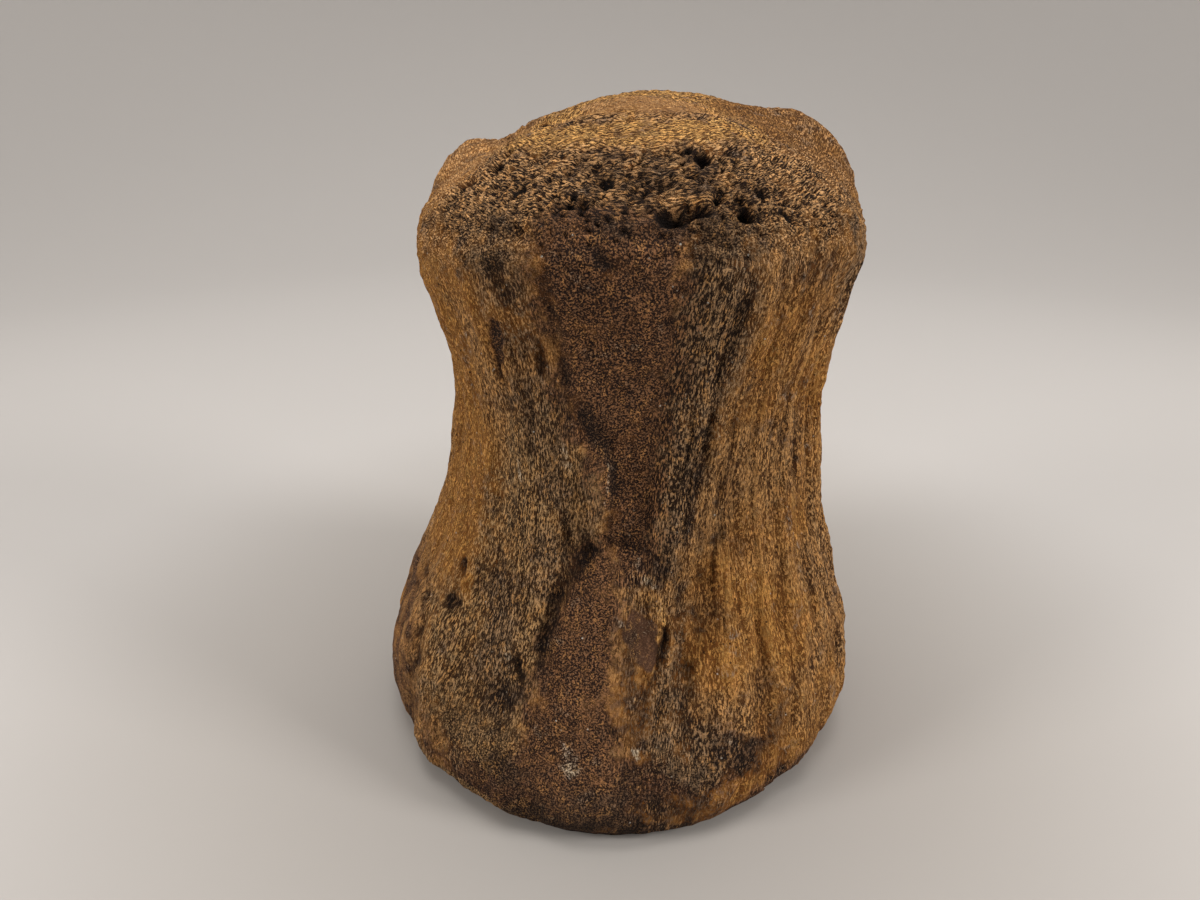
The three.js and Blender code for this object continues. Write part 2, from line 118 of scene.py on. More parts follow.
MARKS = (
    # The floor of the canal, and the smooth tongue below it.
    Mark(((-7, 92, 8), (-7, 80, 9), (-6, 70, 8), (-4, 62, 6)), Zone.CANAL, soft=6),
    Mark(((-4, 62, 6), (-1.5, 52, 3.4), (-1, 45, 3)), Zone.CANAL, soft=6),
    Mark(((-9, 42, 3), (-10.5, 34, 5), (-10.5, 24, 5.6), (-10, 12, 6)), Zone.CANAL, 0.9, soft=4, rise=0.4),
    # The dark scars on both sides of it.
    Mark(((-33, 90, 3), (-28, 78, 4.5), (-27, 66, 4), (-23, 58, 3)), Zone.SCAR, 0.54, soft=6),
    Mark(((-22, 54, 1), (-19, 43, 1)), Zone.SCAR, 0.6, soft=5),
    Mark(((17, 90, 3), (15, 78, 5), (13, 68, 5), (11, 58, 4.5), (8, 50, 4), (4, 42, 3)), Zone.SCAR, soft=5),
    Mark(((-30, 60, 5), (-35, 46, 9), (-38, 32, 11), (-36, 20, 8)), Zone.PEPPER, soft=8),
    Mark(((-37, 37, 2), (-34, 28, 3.4), (-30, 20, 3)), Zone.SCAR, 0.75, soft=5),
    Mark(((-24, 66, 3), (-20, 58, 4), (-14, 54, 4), (-13, 46, 3)), Zone.PEPPER, soft=4),
    Mark(((0, 43, 3), (-3, 37, 2)), Zone.PEPPER, 0.7, soft=3),
    Mark(((14, 38, 1), (10, 26, 2.4), (10, 18, 4), (18, 13, 3)), Zone.SCAR, 0.8, soft=4),
    Mark(((-0.5, 33, 1), (1, 26, 1.4), (3, 18, 1.6)), Zone.STAIN_AND_SHADE, 0.6, soft=3),
    # The lip of the left scar, and the shadowed step that runs round the tongue, sunk and painted dark as
    # painted shade.
    Mark(((-19, 63, 1.2), (-12, 59, 1.8), (-9.5, 54, 1.4), (-10.5, 49, 1)), rise=0.7, soft=1.6),
    Mark(((-16, 67, 0.6), (-9, 61, 0.8), (-6, 55, 0.5), (-7, 49, 0.4)), Zone.STAIN_AND_SHADE, 0.6, soft=2, rise=-0.7),
    Mark(((-8.6, 58, 0.1), (-8.2, 54, 0.2), (-8.8, 50, 0.1)), Zone.CRUST, 0.45, soft=0.6),
    Mark(((0, 45.6, 0.2), (-8, 44.6, 0.4), (-13, 43.4, 0.5)), Zone.STAIN_AND_SHADE, 0.45, soft=1.6, rise=-0.8),
    Mark(((-12, 43.6, 0.5), (-17, 41, 0.8), (-20.5, 36, 0.7), (-21, 27, 0.4)), Zone.STAIN_AND_SHADE, 0.65, 1.8, -1.0),
    # The smooth leaf-shaped facet, the golden sponge around it, and the rib and grooves to its right; the
    # grooves are sunk and painted dark as painted shade.
    Mark(((-1.5, 35, 0.6), (0.5, 28, 0.8), (1.4, 23, 1.1), (1.6, 17, 0.6)), Zone.ORANGE, 0.66, soft=3),
    Mark(((3, 38.6, 0.8), (9, 37, 1), (11, 33, 1)), Zone.GOLD, 0.45, soft=2.4),
    Mark(((0.8, 36, 0.4), (3, 33, 2.5), (4.4, 30.5, 1.8), (4.6, 28, 0.4)), Zone.FACET, 1.0, 0.5, -0.2),
    Mark(((9, 35, 0.3), (8, 31, 0.3), (5.4, 27.4, 0.2)), Zone.GOLD, 1.0, soft=0.8, rise=0.5),
    Mark(((10, 33.6, 0.4), (8.8, 30.6, 0.8), (6.2, 26.8, 0.4)), Zone.STAIN_AND_SHADE, 0.9, soft=1.2, rise=-1.3),
    Mark(((5.8, 26.6, 0.2), (3.8, 20, 0.2)), Zone.STAIN_AND_SHADE, 0.5, soft=1, rise=-0.5),
    Mark(((7.4, 43, 0.8), (8.6, 40.4, 1)), Zone.STAIN_AND_SHADE, 0.6, soft=2, rise=-0.4),
    Mark(((21, 50, 0.3), (19, 33, 0.4), (15, 24, 0.4), (14, 16, 0.3)), Zone.STAIN_AND_SHADE, 0.45, soft=1.6, rise=-0.9),
    Mark(((23, 84, 0.4), (19, 62, 0.4), (16, 50, 0.4), (12, 40, 0.3)), Zone.STAIN_AND_SHADE, 0.2, soft=1.4, rise=-0.5),
    Mark(((30, 72, 0.3), (24, 45, 0.4), (23, 30, 0.3)), Zone.STAIN_AND_SHADE, 0.35, soft=1.5, rise=-0.6),
    # Long grooves in the left scar, sunk and painted dark as painted shade, and the slot and its smooth
    # patch.
    Mark(((-31, 88, 0.3), (-31, 72, 0.4), (-30, 60, 0.3)), Zone.STAIN_AND_SHADE, 0.3, soft=1.8, rise=-0.6),
    Mark(((-21, 90, 0.2), (-20.5, 76, 0.4), (-19, 64, 0.4)), Zone.STAIN_AND_SHADE, 0.5, soft=1.4, rise=-0.5),
    Mark(((-25.4, 76, 0.5), (-25.8, 73, 0.5)), Zone.STAIN_AND_SHADE, 0.7, soft=1.2, rise=-0.7),
    Mark(((-36, 79, 1), (-37, 75, 1.3), (-38, 72.5, 0.7)), Zone.CANAL, 1.0, soft=0.6, rise=-0.6),
    Mark(((-38.5, 72, 0.4), (-37.8, 70.4, 0.3)), Zone.STAIN_AND_SHADE, 0.8, soft=0.8, rise=-0.6),
    # The left of the foot: the edge of a smooth sheet, two holes and the orange spot between them; the crease
    # at the sheet's edge and the holes are painted dark as painted shade.
    Mark(((-80, 30, 0.3), (-66, 27.5, 0.4), (-60, 25, 0.4), (-56, 20, 0.3)), Zone.STAIN_AND_SHADE, 0.4, 1.2, -0.3),
    Mark(((-56, 20, 0.4), (-60, 10, 0.3), (-63, 2, 0.3)), Zone.STAIN_AND_SHADE, 0.4, 1.2, -0.3),
    Mark(((-100, 72, 1.2), (-102, 68.5, 1.4)), Zone.HOLE_SHADE, 0.9, soft=1.6, rise=-1.6),
    Mark(((-88, 24, 5), (-74, 18, 8), (-74, 8, 8)), Zone.CANAL, 0.6, soft=4),
    Mark(((-52, 37.5, 0.4), (-51, 36, 0.5)), Zone.STAIN_AND_SHADE, 0.9, soft=1.1, rise=-0.9),
    Mark(((-52, 31.5, 0.6), (-50, 30.8, 0.4)), Zone.STAIN_AND_SHADE, 0.9, soft=1.1, rise=-0.9),
    Mark(((-66, 28.6, 0.3), (-63, 28.4, 0.3)), Zone.HOLE_SHADE, 0.7, soft=0.9, rise=-0.7),
    Mark(((-48, 34.5, 1.2), (-47.5, 33, 1)), Zone.ORANGE, soft=1.6, rise=0.3),
    Mark(((-36, 19.6, 0.8), (-28, 20.5, 1.2), (-22, 23, 0.8)), Zone.STAIN_AND_SHADE, 0.36, soft=3, rise=-0.3),
    Mark(((-27, 27, 0.6), (-25.5, 25, 0.6)), Zone.HOLE_SHADE, 0.7, soft=1.2, rise=-0.8),
    # Dark blotches on the foot, and tan threads between them. The dark along its bottom edge is a stain with
    # painted shade where the foot meets the floor.
    Mark(((-8, 7, 2), (3, 8, 2.4), (14, 6, 2.4)), Zone.STAIN_AND_SHADE, 0.66, soft=8),
    Mark(((-20, 2.5, 1.6), (0, 2.8, 2.4), (15, 2.5, 1.2)), Zone.STAIN_AND_SHADE, 1.0, soft=3.5),
    Mark(((24, 14, 2), (29, 12, 2)), Zone.STAIN_AND_SHADE, 0.6, soft=3),
    Mark(((38, 17, 1), (37, 12, 1.4)), Zone.STAIN_AND_SHADE, 0.6, soft=2.4),
    Mark(((-24, 12, 1.5), (-18, 6, 1.5)), Zone.STAIN_AND_SHADE, 0.55, soft=3),
    Mark(((-14, 24, 1.6), (-11, 15, 2.6), (-13, 8, 1.6)), Zone.PEPPER, 0.5, soft=3),
    Mark(((-23, 46, 1.5), (-22, 38, 2)), Zone.SCAR, 0.8, soft=4),
    # Near-black specks along the bottom edge of the foot: painted shade where it meets the floor.
    Mark(((-22, 2, 1.5), (-4, 3, 3), (6, 2, 1.5)), Zone.HOLE_SHADE, 0.4, soft=4),
    Mark(((60, 90, 3), (70, 82, 4)), Zone.SCAR, 0.6, soft=6),
    Mark(((-13, 58, 2), (-12, 48, 2)), Zone.SCAR, 0.7, soft=4),
    Mark(((-8.4, 89.4, 0.7), (-6.8, 88.7, 0.6)), Zone.STAIN_AND_SHADE, 0.9, soft=1.3, rise=-0.5),
    # Pale crusts.
    Mark(((4.6, 40.4, 0.2), (6.4, 39.8, 0.2)), Zone.CRUST, 0.8, soft=0.7),
    Mark(((3, 15.8, 0.3), (4, 15, 0.2)), Zone.CRUST, soft=0.6),
    Mark(((-20, 61, 0.8), (-19, 58.5, 0.7)), Zone.CRUST, 0.5, soft=1.6),
    Mark(((-36, 58, 0.2), (-34.5, 55, 0.3)), Zone.CRUST, 0.55, soft=0.8),
    Mark(((-12.4, 17, 0.3), (-10.6, 13, 0.4)), Zone.CRUST, 0.5, soft=1.4),
    Mark(((-31, 29, 0.4), (-29, 27, 0.5)), Zone.CRUST, 0.4, soft=1.2),
    # The orange of the left flank and of the foot's lower right edge.
    Mark(((-75, 88, 9), (-66, 70, 9), (-62, 56, 8), (-60, 42, 8)), Zone.ORANGE, 0.8, soft=8),
    Mark(((8, 5.5, 1.6), (25, 6.5, 2), (38, 9, 3)), Zone.ORANGE, 0.8, soft=3),
    Mark(((-52, 9, 4), (-38, 6.5, 2.5)), Zone.ORANGE, 0.4, soft=4),
    Mark(((-55, 5, 0.8), (-36, 3.4, 0.8), (-18, 2.2, 0.5)), Zone.PEPPER, 1.0, soft=1.2, rise=0.4),
    # The hidden side: a smooth sheet, coarse patches, and the stains round its vessel holes.
    Mark(((170, 78, 5), (176, 60, 4), (172, 40, 3)), Zone.CANAL, 0.5, soft=6),
    Mark(((140, 60, 5), (146, 42, 7), (150, 22, 7)), Zone.PEPPER, 0.8, soft=8),
    Mark(((-150, 70, 4), (-156, 50, 6), (-150, 30, 7)), Zone.PEPPER, 0.8, soft=8),
    Mark(((115, 66, 6), (112, 44, 8)), Zone.ORANGE, 0.7, soft=9),
    Mark(((-128, 30, 6), (-120, 14, 8)), Zone.CANAL, 0.5, soft=7),
)


@dataclass(frozen=True)
class RimPit:
    """A hole in the worn rim of the head face: its place in mm, its radius along X and Z, and its depth."""

    x: float
    y: float
    z: float
    wide: float
    tall: float
    deep: float


RIM_PITS = (
    RimPit(6.2, -32.6, 96.5, 2.3, 1.2, 2.4),
    RimPit(9.6, -32.2, 97.1, 2.1, 1.0, 2.0),
    RimPit(15.6, -31.0, 96.3, 1.4, 1.2, 2.2),
    RimPit(12.9, -30.0, 97.2, 0.8, 0.7, 1.3),
    RimPit(10.8, -23.8, 101.0, 1.2, 0.9, 1.5),
    RimPit(8.9, -22.6, 101.8, 0.8, 0.7, 1.1),
    RimPit(7.2, -22.8, 101.8, 0.9, 0.7, 1.1),
    RimPit(-2.1, -27.6, 98.6, 1.3, 1.0, 0.9),
    RimPit(-6.9, -30.6, 96.0, 0.9, 0.8, 1.3),
    RimPit(-5.2, -31.2, 95.9, 0.8, 0.8, 1.1),
    RimPit(-6.4, -29.4, 97.4, 0.8, 0.7, 1.0),
    RimPit(-16.2, -14.6, 100.8, 1.3, 0.9, 1.3),
    RimPit(-17.4, -16.8, 99.2, 1.4, 1.0, 1.3),
    RimPit(-22.2, -15.6, 96.6, 1.5, 1.1, 1.2),
    RimPit(-20.8, -22.4, 94.8, 1.0, 0.9, 1.0),
    RimPit(-13.6, -25.0, 97.0, 1.2, 0.9, 0.9),
    RimPit(17.9, -26.8, 97.2, 1.2, 0.9, 0.9),
    RimPit(21.7, -28.1, 94.1, 1.0, 0.9, 0.9),
    RimPit(-12.3, 8.4, 102.8, 1.4, 1.0, 0.9),
    RimPit(12.6, 22.0, 100.5, 1.3, 0.9, 1.2),
    RimPit(-8.0, 27.5, 97.5, 1.5, 1.0, 1.4),
    RimPit(4.0, 30.5, 97.0, 1.1, 0.9, 1.3),
)


class Wiring:
    """Adds nodes to one node tree and joins them, so that an effect can be written as a formula."""

    def __init__(self, tree: bpy.types.NodeTree) -> None:
        """Takes the tree that the nodes go into."""
        self.tree = tree

    def add(self, kind: str, **settings: object) -> bpy.types.Node:
        """Adds one node.

        Args:
            kind: Blender's name for the node.
            **settings: Properties that are set on it.

        Returns:
            The new node.
        """
        node = self.tree.nodes.new(kind)
        for name, value in settings.items():
            setattr(node, name, value)
        return node

    def put(self, socket: Socket, value: object) -> None:
        """Sets a socket, or joins another one to it.

        Args:
            socket: The socket that is set.
            value: Its value, or the socket that it takes its value from.
        """
        if isinstance(value, bpy.types.NodeSocket):
            self.tree.links.new(value, socket)
        else:
            socket.default_value = value

    def calc(self, operation: str, *values: Number, clamp: bool = False) -> Socket:
        """Works out one Math node.

        Args:
            operation: The node's operation.
            *values: Its inputs.
            clamp: Whether the result is kept between 0 and 1.

        Returns:
            The result.
        """
        node = self.add("ShaderNodeMath", operation=operation, use_clamp=clamp)
        for socket, value in zip(node.inputs, values):
            self.put(socket, value)
        return node.outputs[0]

    def total(self, *values: Number) -> Socket:
        """Adds up any number of values.

        Args:
            *values: What is added up.

        Returns:
            Their sum.
        """
        result = values[0]
        for value in values[1:]:
            result = self.calc("ADD", result, value)
        return result

    def product(self, *values: Number) -> Socket:
        """Multiplies any number of values.

        Args:
            *values: What is multiplied.

        Returns:
            Their product.
        """
        result = values[0]
        for value in values[1:]:
            result = self.calc("MULTIPLY", result, value)
        return result

    def ramp(
        self, value: Number, low: Number, high: Number, start: Number = 0.0, end: Number = 1.0
    ) -> Socket:
        """Turns a value into a smooth step.

        Args:
            value: What is turned.
            low: Where the step starts.
            high: Where it ends.
            start: The result at and before its start.
            end: The result at and after its end.

        Returns:
            The stepped value.
        """
        node = self.add("ShaderNodeMapRange", interpolation_type="SMOOTHSTEP")
        for socket, number in zip(node.inputs, (value, low, high, start, end)):
            self.put(socket, number)
        return node.outputs[0]

    def blend(self, share: Number, low: Number, high: Number) -> Socket:
        """Mixes two numbers.

        Args:
            share: How much of the second number is taken.
            low: The first number.
            high: The second number.

        Returns:
            The mixed number.
        """
        node = self.add("ShaderNodeMix", data_type="FLOAT", clamp_factor=True)
        for index, value in ((0, share), (2, low), (3, high)):
            self.put(node.inputs[index], value)
        return node.outputs[0]

    def stretch(self, place: Socket, pitch: Number, length: Number) -> Socket:
        """Scales a place so that one unit is a pitch across the fibres, and that many pitches along them.

        Args:
            place: The place in mm.
            pitch: The size of the pattern across, in mm.
            length: How many times longer it is along Z.

        Returns:
            The scaled place.
        """
        across = self.calc("DIVIDE", 1.0, pitch)
        scale = self.add("ShaderNodeCombineXYZ")
        self.put(scale.inputs[0], across)
        self.put(scale.inputs[1], across)
        self.put(scale.inputs[2], self.calc("DIVIDE", across, length))
        node = self.add("ShaderNodeVectorMath", operation="MULTIPLY")
        self.put(node.inputs[0], place)
        self.put(node.inputs[1], scale.outputs[0])
        return node.outputs[0]

    def noise(self, place: Socket, detail: float = 2.0, roughness: float = 0.5) -> Socket:
        """Gives smooth noise of one cell a unit.

        Args:
            place: The place, in units of one cell.
            detail: How many finer layers of noise it carries.
            roughness: How strong those are.

        Returns:
            The noise, between 0 and 1 and mostly near a half.
        """
        node = self.add("ShaderNodeTexNoise")
        self.put(node.inputs["Vector"], place)
        self.put(node.inputs["Scale"], 1.0)
        self.put(node.inputs["Detail"], detail)
        self.put(node.inputs["Roughness"], roughness)
        return node.outputs[0]

    def cells(self, place: Socket) -> bpy.types.Node:
        """Adds cells of about one unit.

        Args:
            place: The place, in units of one cell.

        Returns:
            The Voronoi node, with the distance to each cell's point and a chance colour for each cell.
        """
        node = self.add("ShaderNodeTexVoronoi", feature="F1")
        self.put(node.inputs["Vector"], place)
        self.put(node.inputs["Scale"], 1.0)
        return node

    def between(self, share: Number, low: object, high: object, mode: str = "MIX") -> Socket:
        """Mixes two colours.

        Args:
            share: How much of the second colour is taken.
            low: The first colour.
            high: The second colour.
            mode: How the second is laid over the first.

        Returns:
            The mixed colour.
        """
        node = self.add("ShaderNodeMix", data_type="RGBA", blend_type=mode, clamp_factor=True)
        self.put(node.inputs[0], share)
        self.put(node.inputs[6], low if isinstance(low, bpy.types.NodeSocket) else (*low, 1.0))
        self.put(node.inputs[7], high if isinstance(high, bpy.types.NodeSocket) else (*high, 1.0))
        return node.outputs[2]


def smooth_step(value: np.ndarray, low: float, high: float) -> np.ndarray:
    """Turns values into a smooth step.

    Args:
        value: The values.
        low: Where the step starts, at 0.
        high: Where it ends, at 1.

    Returns:
        A number from 0 to 1 for each value.
    """
    share = np.clip((value - low) / (high - low), 0.0, 1.0)
    return share * share * (3.0 - 2.0 * share)


@dataclass(frozen=True)
class Band:
    """A soft-edged range. Each edge is the value where it has faded out, and the value where it is full."""

    first: tuple[float, float]
    last: tuple[float, float]

    def of(self, value: np.ndarray) -> np.ndarray:
        """Gives 1 inside the range, 0 outside it and a smooth step between."""
        return smooth_step(value, *self.first) * smooth_step(value, *self.last)


@dataclass(frozen=True)
class Survey:
    """The bone's skin, point by point, in the terms that the marks are given in.

    Args:
        place: The points in mm.
        bearing: The direction from the axis, in degrees from the front towards the right.
        inward: How far a point lies past the head's worn edge, in mm, and less than 0 on the flank.
        wander: A small smooth shift of each point in mm, which makes the edges of marks ragged.
    """

    place: np.ndarray
    bearing: np.ndarray
    inward: np.ndarray
    wander: np.ndarray

    NOMINAL_RADIUS = 34.0
    AXIS_SHIFT = 2.5
    AXIS_LOW = 8.0
    AXIS_HIGH = 60.0
    EDGE_FRONT = 94.0
    EDGE_SIDE = 91.8
    EDGE_BACK = 98.0
    HEAD_RADIUS = 33.0
    HEAD_SLOPE = 0.8
    SEED = 4
    HEAD_LOW = 60.0
    OFF_HEAD = -50.0
    COARSE_WANDER = (3.4, 0.7)
    FINE_WANDER = (1.2, 0.4)

    @classmethod
    def of(cls, mesh: bpy.types.Mesh) -> "Survey":
        """Reads the points of a mesh.

        Args:
            mesh: The mesh, in metres.

        Returns:
            What is known of each of its points.
        """
        place = np.empty(len(mesh.vertices) * 3, "f")
        mesh.vertices.foreach_get("co", place)
        place = place.reshape(-1, 3).astype(float) / MM
        up = np.clip((place[:, 2] - cls.AXIS_LOW) / (cls.AXIS_HIGH - cls.AXIS_LOW), 0.0, 1.0)
        x = place[:, 0] - cls.AXIS_SHIFT * up
        y = place[:, 1]
        bearing = np.degrees(np.arctan2(x, -y))
        frontness = np.cos(np.radians(bearing))
        end = np.where(frontness > 0, cls.EDGE_FRONT, cls.EDGE_BACK)
        edge = cls.EDGE_SIDE + (end - cls.EDGE_SIDE) * frontness**2
        inward = place[:, 2] - edge + cls.HEAD_SLOPE * np.maximum(0.0, cls.HEAD_RADIUS - np.hypot(x, y))
        inward = np.where(place[:, 2] > cls.HEAD_LOW, inward, cls.OFF_HEAD)
        noise.seed_set(cls.SEED)
        wander = np.zeros_like(place)
        for pitch, size in (cls.COARSE_WANDER, cls.FINE_WANDER):
            wander += size * np.array([noise.noise_vector(point) for point in (place / pitch).tolist()])
        return cls(place, bearing, inward, wander)

    def nearest(self, x: float, y: float, z: float) -> np.ndarray:
        """Gives the point of the skin that lies closest to a place."""
        return self.place[np.argmin(((self.place - (x, y, z)) ** 2).sum(1))]

    def near(self, path: Course, soft: float) -> np.ndarray:
        """Tells how much each point belongs to a path.

        Args:
            path: Points of bearing, height and half width.
            soft: The distance over which it fades, in mm.

        Returns:
            A number from 0 to 1 for each point.
        """
        across = np.radians(self.bearing) * self.NOMINAL_RADIUS + self.wander[:, 0]
        height = self.place[:, 2] + self.wander[:, 2]
        best = np.full(len(height), np.inf)
        for (b0, z0, w0), (b1, z1, w1) in zip(path, path[1:]):
            x0 = math.radians(b0) * self.NOMINAL_RADIUS
            x1 = math.radians(b1) * self.NOMINAL_RADIUS
            run = (x1 - x0) ** 2 + (z1 - z0) ** 2
            t = np.clip(((across - x0) * (x1 - x0) + (height - z0) * (z1 - z0)) / run, 0.0, 1.0)
            gap = np.hypot(across - x0 - t * (x1 - x0), height - z0 - t * (z1 - z0))
            best = np.minimum(best, gap - (w0 + t * (w1 - w0)))
        return 1.0 - smooth_step(best, -0.5 * soft, soft)


@dataclass(frozen=True)
class Relief:
    """The roughness of the skin, from ridges down to what the grid can still hold. Sizes are in mm.

    Args:
        ridge_pitch: The distance between the large ridges.
        strand_pitch: The distance between the strands on them.
        fibre_length: How many pitches long a ridge or strand runs.
        lump_pitch: The size of the broad swellings of the whole skin.
        sponge_pitch: The size of the open network of the rim.
        hole_pitch: The distance between the holes in that network.
        hole_middle: How far a hole's flat bottom reaches from its middle, in pitches.
        hole_edge: How far the hole reaches.
        grain_pitch: The size of the grain of the whole skin.
        groove_pitch: The distance between the narrow grooves.
        groove_width: Their half width, as a share of the noise that they follow.
    """

    ridge_pitch: float = 4.2
    ridge_rise: float = 2.4
    strand_pitch: float = 1.5
    strand_rise: float = 2.0
    fibre_length: float = 9.0
    lump_pitch: float = 6.0
    lump_rise: float = 1.0
    sponge_pitch: float = 1.3
    sponge_rise: float = 2.5
    hole_pitch: float = 1.25
    hole_depth: float = 0.75
    hole_middle: float = 0.16
    hole_edge: float = 0.46
    grain_pitch: float = 1.3
    grain_rise: float = 0.8
    groove_pitch: float = 3.2
    groove_width: float = 0.045
    groove_depth: float = 0.55

    def ridges(self, wiring: Wiring, fibre_place: Socket) -> Socket:
        """Gives the large ridges, between 0 and 1."""
        return wiring.noise(wiring.stretch(fibre_place, self.ridge_pitch, self.fibre_length), 2.0, 0.45)

    def strands(self, wiring: Wiring, fibre_place: Socket) -> Socket:
        """Gives the strands on the ridges, between 0 and 1."""
        return wiring.noise(wiring.stretch(fibre_place, self.strand_pitch, self.fibre_length), 2.0, 0.5)

    def grooves(self, wiring: Wiring, fibre_place: Socket) -> Socket:
        """Gives the narrow grooves between the fibres.

        Args:
            wiring: The tree that they go into.
            fibre_place: The place across and along the fibres.

        Returns:
            A number that is 1 in the middle of each groove.
        """
        level = wiring.noise(wiring.stretch(fibre_place, self.groove_pitch, self.fibre_length), 1.0, 0.4)
        away = wiring.calc("ABSOLUTE", wiring.calc("SUBTRACT", level, 0.5))
        return wiring.ramp(away, 0.0, self.groove_width, 1.0, 0.0)

    def sponge(self, wiring: Wiring, rim_place: Socket) -> Socket:
        """Gives the open network of the worn rim, between 0 and 1."""
        return wiring.noise(wiring.stretch(rim_place, self.sponge_pitch, 1.0), 2.0, 0.6)

    def holes(self, wiring: Wiring, rest_place: Socket) -> Socket:
        """Gives the holes in that network, 1 in the middle of each."""
        cells = wiring.cells(wiring.stretch(rest_place, self.hole_pitch, 1.0))
        return wiring.ramp(cells.outputs["Distance"], self.hole_middle, self.hole_edge, 1.0, 0.0)

    def tree(self) -> bpy.types.NodeTree:
        """Builds the geometry nodes that move the skin out and in.

        Returns:
            The node tree.
        """
        tree = bpy.data.node_groups.new("bone_relief", "GeometryNodeTree")
        tree.interface.new_socket("Geometry", in_out="INPUT", socket_type="NodeSocketGeometry")
        tree.interface.new_socket("Geometry", in_out="OUTPUT", socket_type="NodeSocketGeometry")
        wiring = Wiring(tree)

        def read(name: str, kind: str = "FLOAT") -> Socket:
            """Reads one of the mesh's attributes.

            Args:
                name: Its name.
                kind: Its data type.

            Returns:
                Its value.
            """
            node = wiring.add("GeometryNodeInputNamedAttribute", data_type=kind)
            node.inputs["Name"].default_value = name
            return node.outputs["Attribute"]

        def swing(pattern: Socket, rise: Number) -> Socket:
            """Turns a pattern into a rise and fall about the skin, in mm."""
            return wiring.calc("MULTIPLY", wiring.calc("SUBTRACT", pattern, 0.5), rise)

        rest = read(REST_PLACE, "FLOAT_VECTOR")
        rim_place = read(RIM_PLACE, "FLOAT_VECTOR")
        fibre_place = read(FIBRE_PLACE, "FLOAT_VECTOR")
        fibre = read(Zone.FIBRE.value)
        sponge = read(Zone.SPONGE.value)
        fibrous = wiring.total(
            swing(self.ridges(wiring, fibre_place), self.ridge_rise),
            swing(self.strands(wiring, fibre_place), self.strand_rise),
            wiring.product(self.grooves(wiring, fibre_place), -self.groove_depth),
        )
        spongy = wiring.calc(
            "SUBTRACT",
            swing(self.sponge(wiring, rim_place), self.sponge_rise),
            wiring.calc("MULTIPLY", self.holes(wiring, rest), self.hole_depth),
        )
        plain = wiring.total(
            swing(wiring.noise(wiring.stretch(rest, self.lump_pitch, 1.0)), self.lump_rise),
            swing(wiring.noise(wiring.stretch(rest, self.grain_pitch, 1.0)), self.grain_rise),
        )
        height = wiring.total(plain, wiring.product(fibrous, fibre), wiring.product(spongy, sponge))
        height = wiring.product(wiring.total(height, read("carving")), read("free"))
        push = wiring.add("ShaderNodeVectorMath", operation="SCALE")
        wiring.put(push.inputs[0], wiring.add("GeometryNodeInputNormal").outputs[0])
        wiring.put(push.inputs["Scale"], wiring.calc("MULTIPLY", height, MM))
        move = wiring.add("GeometryNodeSetPosition")
        keep = wiring.add("GeometryNodeStoreNamedAttribute", data_type="FLOAT", domain="POINT")
        wiring.put(keep.inputs["Geometry"], wiring.add("NodeGroupInput").outputs[0])
        keep.inputs["Name"].default_value = HEIGHT
        wiring.put(keep.inputs["Value"], height)
        wiring.put(move.inputs["Geometry"], keep.outputs[0])
        wiring.put(move.inputs["Offset"], push.outputs[0])
        wiring.put(wiring.add("NodeGroupOutput").inputs[0], move.outputs[0])
        return tree


